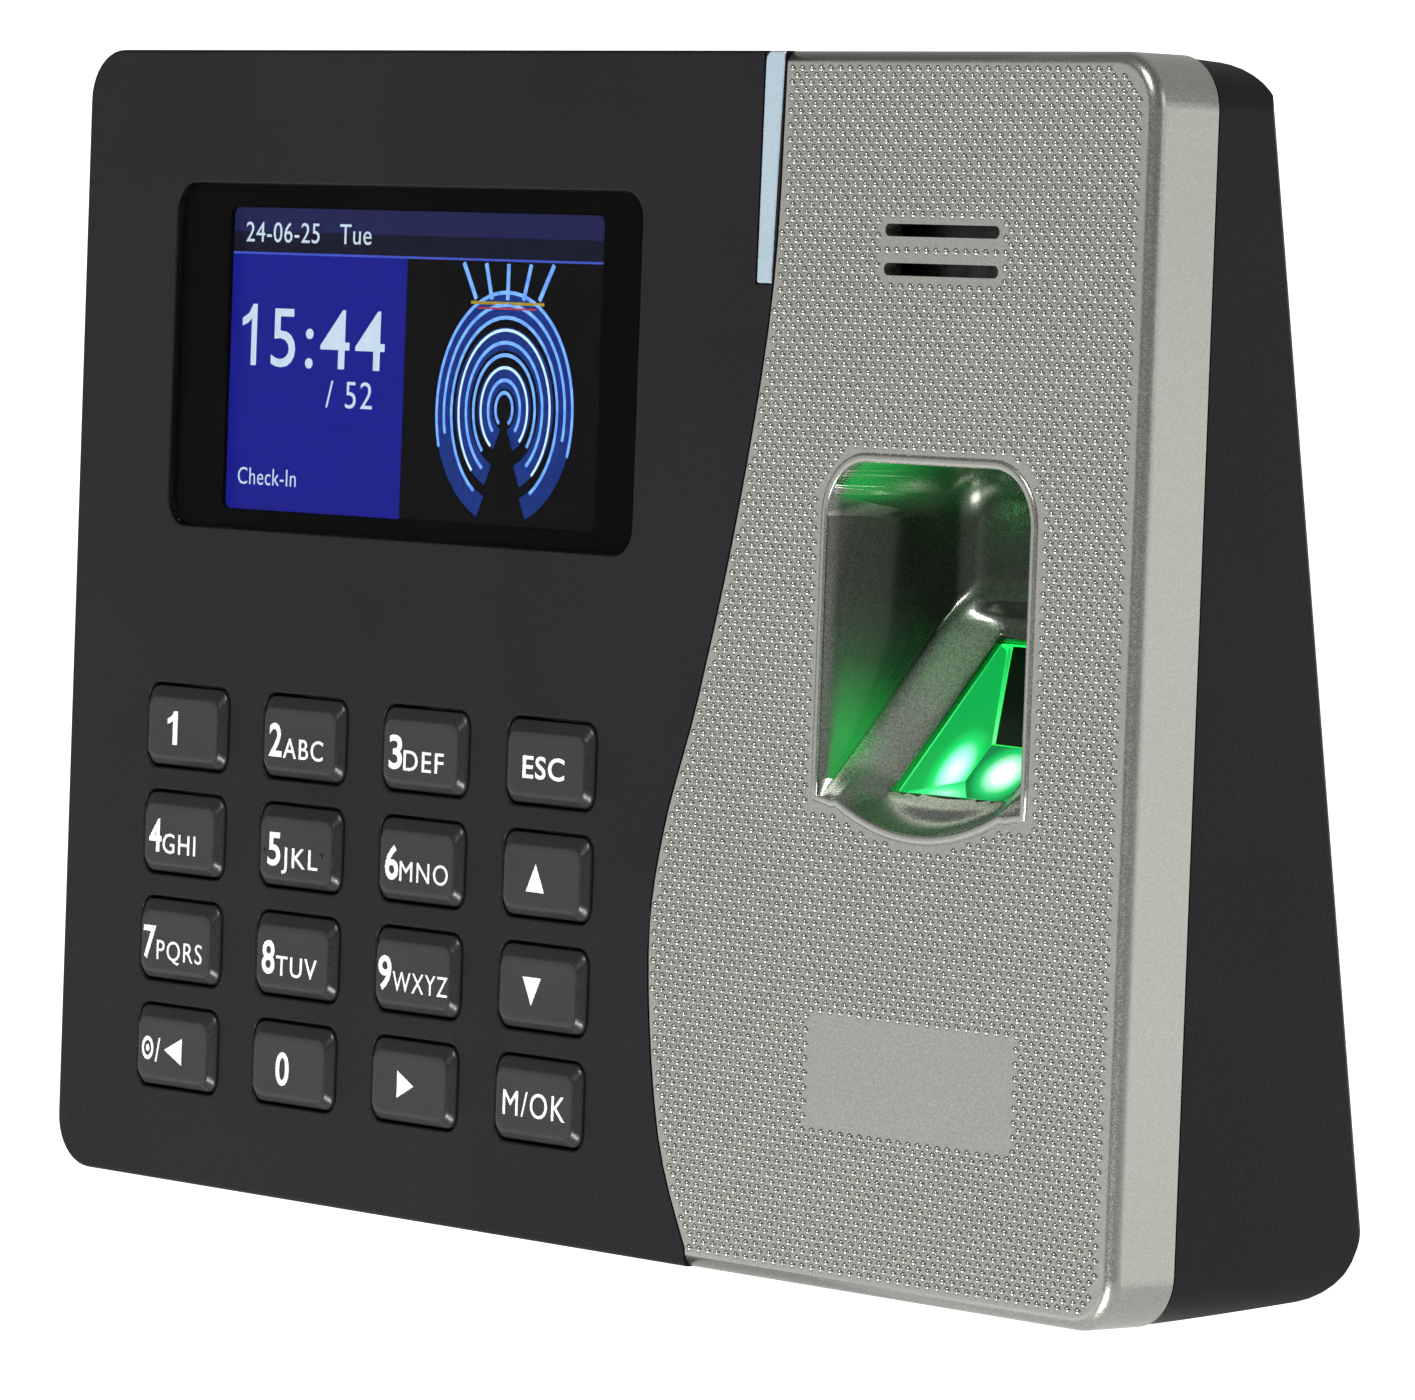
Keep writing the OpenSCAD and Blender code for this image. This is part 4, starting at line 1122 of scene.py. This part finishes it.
for name, ccol, crow in KEYS:
    kx, kz = -68.7 + 22.3 * ccol, 54 - 12.7 * crow
    body = name + "_body"
    v, f = cap_mesh(kx, kz)
    o = new_obj("cap_" + name[4:], v, f, M["key"], body)
    fix_normals(o)
    shade(o, 50)
    flat_normals(o)
    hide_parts(name)
    tag = "legend_" + name[4:]
    if name in LET:
        d, l = LET[name]
        xl, total = START[name]
        text_mesh(tag + "_digit", d, kx + xl, kz - 2.25, 3.95, Y_LEG, M["legend"], 0.70, 0.018, 0.04, body=body, width=2.4)
        text_mesh(tag + "_letters", l, kx + xl + 2.65, kz - 2.4, 2.45, Y_LEG, M["legend"], 0.83, 0.0 if name in ("key_6", "key_7", "key_9") else 0.005, 0.04, body=body, width=total - 2.65, spacing=1.14)
    elif name == "key_1":
        tri_mesh(tag, [(kx - 1.95 + 0.62 * a_, kz - 2.2 + 0.56 * b_) for a_, b_ in ONE_KEY], Y_LEG, body)
    elif name == "key_0":
        text_mesh(tag, "0", kx - 2.45, kz - 2.4, 3.95, Y_LEG, M["legend"], 0.74, 0.016, 0.04, body=body, width=2.5)
    elif name == "key_esc":
        text_mesh(tag, "ESC", kx - 4.0, kz - 1.8, 2.6, Y_LEG, M["legend"], 0.82, 0.016, 0.04, body=body, width=7.3, spacing=1.08)
    elif name == "key_ok":
        text_mesh(tag, "M/OK", kx - 5.4, kz - 1.9, 3.0, Y_LEG, M["legend"], 0.74, 0.0, 0.04, body=body, width=10.9, spacing=1.12)
    elif name == "key_up_arrow":
        tri_mesh(tag, [(kx - 2.7, kz - 1.9), (kx + 0.5, kz - 1.9), (kx - 1.1, kz + 1.3)], Y_LEG, body)
    elif name == "key_down_arrow":
        tri_mesh(tag, [(kx - 2.7, kz + 1.2), (kx - 1.1, kz - 2.0), (kx + 0.5, kz + 1.2)], Y_LEG, body)
    elif name == "key_next":
        tri_mesh(tag, [(kx - 2.2, kz - 1.9), (kx + 0.8, kz - 0.35), (kx - 2.2, kz + 1.25)], Y_LEG, body)
    elif name == "key_back":
        ring_mesh(tag + "_ring", kx - 4.8, kz - 0.35, 0.72, 1.12, Y_LEG, body)
        ring_mesh(tag + "_dot", kx - 4.8, kz - 0.35, 0.01, 0.34, Y_LEG, body)
        text_mesh(tag + "_slash", "/", kx - 3.3, kz - 1.8, 2.9, Y_LEG, M["legend"], 0.8, 0.012, 0.04, body=body)
        tri_mesh(tag + "_arrow", [(kx - 1.6, kz - 0.35), (kx + 1.8, kz - 1.95), (kx + 1.8, kz + 1.25)], Y_LEG, body)
    if name == "key_5":
        for side, xx in (("l", kx - 6.05), ("r", kx + 4.6)):
            dv, df = [], []
            seg = 12
            for q, y in ((0.34, -0.72), (0.32, -0.86), (0.22, -0.97), (0.08, -1.02)):
                for k in range(seg):
                    a = 2 * math.pi * k / seg
                    dv.append((xx + q * math.cos(a), y, kz - 0.7 + q * math.sin(a)))
            for rr in range(3):
                for k in range(seg):
                    k2 = (k + 1) % seg
                    df.append((rr * seg + k, rr * seg + k2, (rr + 1) * seg + k2, (rr + 1) * seg + k))
            df += [tuple(range(seg))[::-1], tuple(range(3 * seg, 4 * seg))]
            d = new_obj("homing_dot_" + side, dv, df, M["key"], body)
            fix_normals(d)

# ------------------------------------------------------------------ reader glass and lamps
# the prism's emission is a painted green glow standing in for the light of the reader's lamps
M["prism"] = clear("prism_green", (0.10, 0.95, 0.30), 0.03, 1.5, 1.0, (0.02, 0.85, 0.12), 0.55)
M["lamp"] = glowing("lamp_white_green", (0.55, 1.0, 0.75), (0.85, 1.0, 0.92), 2.0)
M["dark"] = moulded("reader_black", (0.004, 0.008, 0.005), (0.010, 0.016, 0.011), 0.3, 1500.0)


def across(profile, x0_, x1_, name, mat, xf, body="case"):
    n = len(profile)
    verts = [(x0_, y, z) for y, z in profile] + [(x1_, y, z) for y, z in profile]
    faces = [tuple(range(n)), tuple(range(2 * n - 1, n - 1, -1))] + [(i, n + i, n + (i + 1) % n, (i + 1) % n) for i in range(n)]
    o = new_obj(name, verts, faces, mat, body, smooth=False, xf=xf)
    fix_normals(o)
    return o


def painted_hot_spot(name, centre, rx, ry, turn, stops, strength, base=(0.0, 0.03, 0.006)):
    """Facet with painted light: emission colour that falls off round a painted bright hot spot, all in the facet's own
    plane.
    """
    m, nt, b_ = tree(name)
    mp = nt.nodes.new("ShaderNodeMapping")
    mp.vector_type = "TEXTURE"
    mp.inputs["Location"].default_value = (centre[0] / 1000, centre[1] / 1000, 0)
    mp.inputs["Rotation"].default_value = (0, 0, math.radians(turn))
    mp.inputs["Scale"].default_value = (rx / 1000, ry / 1000, 1)
    nt.links.new(coords(nt), mp.inputs["Vector"])
    ln = nt.nodes.new("ShaderNodeVectorMath")
    ln.operation = "LENGTH"
    nt.links.new(mp.outputs["Vector"], ln.inputs[0])
    col = ramp(nt, ln.outputs["Value"], stops)
    nt.links.new(col, b_.inputs["Emission Color"])
    b_.inputs["Emission Strength"].default_value = strength
    b_.inputs["Base Color"].default_value = (*base, 1)
    b_.inputs["Specular IOR Level"].default_value = 0.1
    return m


RD = FACE @ Matrix.Translation((59.3, 12.1, 62.5)) @ Matrix.Rotation(RAMP, 4, "X")
RD_RIGID = Matrix.LocRotScale(RD.to_translation(), RD.to_quaternion(), None)


def facet(name, poly, top, thick, mat):
    """Closed plate in the reader's own frame."""
    n = len(poly)
    verts = [(x / 1000, y / 1000, top / 1000) for x, y in poly] + [(x / 1000, y / 1000, (top - thick) / 1000) for x, y in poly]
    faces = [tuple(range(n)), tuple(range(2 * n - 1, n - 1, -1))] + [(i, n + i, n + (i + 1) % n, (i + 1) % n) for i in range(n)]
    o = new_obj(name, verts, faces, mat, None, smooth=False, xf=None)
    fix_normals(o)
    o.matrix_world = RD_RIGID
    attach(o, "case")
    return o


# The reader's facets are plates of painted light under the cover glass: painted hot spots and glow of the lamps,
# painted glowing edge lines, and a painted dark reflection (facet_dark).
WHITE, CYAN, GREEN, MIDG, DEEPG = (1.0, 1.0, 1.0), (0.35, 1.0, 0.80), (0.01, 0.80, 0.16), (0.004, 0.42, 0.07), (0.001, 0.10, 0.02)
LEFT = painted_hot_spot("facet_left", (-2.6, -7.0), 4.0, 6.4, 12, [(0.0, WHITE), (0.22, (0.75, 1.0, 0.95)), (0.42, CYAN), (0.66, GREEN), (1.0, MIDG)], 1.15)
HEXA = painted_hot_spot("facet_hex", (5.0, -6.9), 4.6, 4.2, 0, [(0.0, WHITE), (0.30, WHITE), (0.46, (0.45, 1.0, 0.7)), (0.7, (0.01, 0.62, 0.14)), (1.0, (0.002, 0.22, 0.05))], 1.2)
EDGE = painted_hot_spot("facet_edge", (-2.0, -5.0), 14.0, 14.0, 0, [(0.0, (0.25, 1.0, 0.45)), (0.5, (0.06, 0.9, 0.22)), (1.0, (0.02, 0.6, 0.12))], 1.1)
DARK = painted_hot_spot("facet_dark", (4.0, 3.0), 9.0, 9.0, 0, [(0.0, (0.0004, 0.002, 0.0008)), (1.0, (0.001, 0.006, 0.002))], 0.6, (0.001, 0.002, 0.001))
LOW = painted_hot_spot("facet_low", (-1.5, -10.4), 7.5, 2.4, 0, [(0.0, (0.5, 1.0, 0.8)), (0.4, (0.05, 0.95, 0.3)), (1.0, (0.005, 0.5, 0.09))], 1.15)
T0, TH = -0.46, 0.05
facet("reader_facet_left", [(-8.7, 10.6), (-7.35, 10.0), (0.05, -3.0), (-0.1, -8.35), (-8.7, -10.9)], T0, TH, LEFT)
facet("reader_facet_low", [(-8.7, -11.0), (-0.1, -8.5), (1.8, -10.75), (-8.7, -10.98 - 0.0)][:3] + [(1.8, -10.8), (-8.7, -11.02)][:0], T0, TH, LOW)
facet("reader_facet_edge_line", [(-7.35, 10.3), (-6.85, 10.3), (0.62, -2.95), (0.12, -2.95)], T0 + 0.01, TH, EDGE)
facet("reader_facet_dark", [(-6.8, 10.6), (8.8, 10.6), (8.8, -3.2), (0.75, -3.0)], T0, TH, DARK)
facet("reader_facet_hex", [(0.2, -3.2), (8.8, -3.4), (8.8, -9.3), (7.5, -10.8), (2.1, -10.8), (0.1, -8.5)], T0, TH, HEXA)
facet("reader_facet_rim_low", [(-8.85, -10.85), (8.85, -10.85), (8.85, -10.6), (-8.85, -10.6)], T0 + 0.03, 0.03, EDGE)
facet("reader_facet_rim_left", [(-8.85, 10.7), (-8.6, 10.7), (-8.6, -10.8), (-8.85, -10.8)], T0 + 0.03, 0.03, EDGE)


def glass_plate():
    rings = []
    for inset, z in ((0.12, 0.0), (0.0, -0.12), (0.0, -0.38)):
        rings.append([(x, y, z) for x, y in rrect(18 - 2 * inset, 22 - 2 * inset, 0.3, 3, 0, 0)])
    v_, f_ = loft(rings)
    o = new_obj("reader_cover_glass", [(x, y, z) for x, y, z in v_], f_, M["glass"], smooth=False, xf=RD)
    fix_normals(o)


def core():
    prof = [(-11, -0.53), (11, -0.53), (11, -4), (3, -9), (-11, -9)]
    n = len(prof)
    verts = [(x, y, z) for x in (-9, 9) for y, z in prof]
    faces = [tuple(range(n)), tuple(range(2 * n - 1, n - 1, -1))] + [(i, n + i, n + (i + 1) % n, (i + 1) % n) for i in range(n)]
    o = new_obj("reader_core", verts, faces, M["prism"], smooth=False, xf=RD)
    fix_normals(o)
    soften(o, 0.00015, 2, 30)
    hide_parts("sensor_prism")


glass_plate()
core()

# ------------------------------------------------------------------ CAD nodes that stay: material and rounded edges
KEEP = {
    "rear_shell": ("rear", 0.0005, 3), "light_bar_board": ("board", 0.00006, 1), "lcd_panel": ("tin", 0.0001, 1),
    "lcd_bracket": ("zinc", 0.00008, 1), "keypad_mat": ("rubber", 0.0001, 1), "keypad_board": ("board", 0.00006, 1),
    "keypad_flex": ("flex", 0, 1), "display_flex": ("flex", 0, 1), "main_board": ("board", 0.00006, 1),
    "board_chips": ("epoxy", 0.00008, 1), "board_capacitors": ("can", 0.0001, 2), "board_connectors": ("nylon", 0.00008, 1),
    "coin_cell_holder": ("epoxy", 0.0001, 1), "coin_cell": ("cell", 0.00015, 2), "usb_port": ("tin", 0.00012, 2),
    "ethernet_jack": ("tin", 0.00012, 2), "dc_jack": ("epoxy", 0.00015, 2), "reset_switch": ("epoxy", 0.0001, 1),
    "reset_button": ("white", 0.00008, 2), "speaker": ("cone", 0.00015, 2), "speaker_gasket": ("foam", 0.0001, 1),
    "speaker_wires": ("wire", 0, 1), "sensor_housing": ("dark", 0.0001, 1),
    "sensor_board": ("board_blue", 0.00006, 1), "sensor_leds": ("lamp", 0, 1), "sensor_camera": ("dark", 0.0001, 1),
    "sensor_cable": ("ribbon", 0, 1), "case_screws": ("screw", 0.00008, 1), "small_screws": ("screw", 0.00006, 1),
    "board_screws": ("screw", 0.00008, 1), "sensor_screws": ("screw", 0.00006, 1), "wall_plate": ("zinc", 0.00012, 2),
    "security_screw": ("screw", 0.00008, 1)}
for n, (mk, width, seg) in KEEP.items():
    o = NODES[n]
    give(o, M[mk])
    for p in o.data.polygons:
        p.material_index = 0
    shade(o, 34)
    if width:
        soften(o, width, seg, 34)

# ------------------------------------------------------------------ floor, lights, world
fl = bpy.data.meshes.new("floor")
fl.from_pydata([(-40, -40, -1.5), (40, -40, -1.5), (40, 40, -1.5), (-40, 40, -1.5)], [], [(0, 1, 2, 3)])
floor = bpy.data.objects.new("floor", fl)
bpy.context.scene.collection.objects.link(floor)
fm, nt, b = tree("floor_pale")
b.inputs["Base Color"].default_value = (0.95, 0.95, 0.95, 1)
b.inputs["Roughness"].default_value = 0.9
b.inputs["Emission Color"].default_value = (1, 1, 1, 1)
sep = nt.nodes.new("ShaderNodeSeparateXYZ")
nt.links.new(coords(nt), sep.inputs[0])
nt.links.new(span(nt, sep.outputs["Y"], 0.5, 1.15, 1.5, 4.0), b.inputs["Emission Strength"])
fl.materials.append(fm)


def area(name, pos, target, size, power, colour=(1, 1, 1), size_y=None):
    d = bpy.data.lights.new(name, "AREA")
    d.energy = power
    d.size = size
    d.color = colour
    if size_y:
        d.shape = "RECTANGLE"
        d.size_y = size_y
    o = bpy.data.objects.new(name, d)
    bpy.context.scene.collection.objects.link(o)
    o.location = pos
    o.rotation_mode = "QUATERNION"
    o.rotation_quaternion = (Vector(target) - Vector(pos)).to_track_quat("-Z", "Y")
    return o


area("key_light", (0.16, -0.80, 0.90), (0.0, 0, 0), 0.32, 6.0)
area("low_front", (0.22, -0.66, -0.34), (0.03, 0, 0), 0.22, 4.2)
area("left_panel", (-0.95, -0.92, 0.02), (0, 0, -0.02), 1.15, 2.5)
area("right_edge", (1.1, 0.25, 0.35), (0.09, 0, 0), 0.5, 1.2)


def spot_in_well(name, at, power, radius):
    wl = bpy.data.lights.new(name, "POINT")
    wl.energy = power
    wl.color = (0.02, 1.0, 0.14)
    wl.shadow_soft_size = radius
    wo = bpy.data.objects.new(name, wl)
    bpy.context.scene.collection.objects.link(wo)
    wo.location = to_row(*at)
    wo.visible_camera = False
    wo.visible_glossy = False


spot_in_well("well_glow_low", (45.0, 3.0, 60.0), 0.0015, 0.0012)
spot_in_well("well_glow_top", (47.0, 4.0, 85.8), 0.002, 0.001)
spot_in_well("well_glow_back", (50.5, 17.0, 85.6), 0.002, 0.001)

world = bpy.data.worlds.new("world")
bpy.context.scene.world = world
world.use_nodes = True
bg = world.node_tree.nodes["Background"]
bg.inputs["Color"].default_value = (1, 1, 1, 1)
wt = world.node_tree
wsep = wt.nodes.new("ShaderNodeSeparateXYZ")
wt.links.new(wt.nodes.new("ShaderNodeTexCoord").outputs["Generated"], wsep.inputs[0])
wt.links.new(span(wt, wsep.outputs["Y"], 0.2, 0.5, 0.1, 0.7), bg.inputs["Strength"])
bpy.context.scene.view_settings.view_transform = "Standard"
bpy.context.scene.view_settings.look = "None"
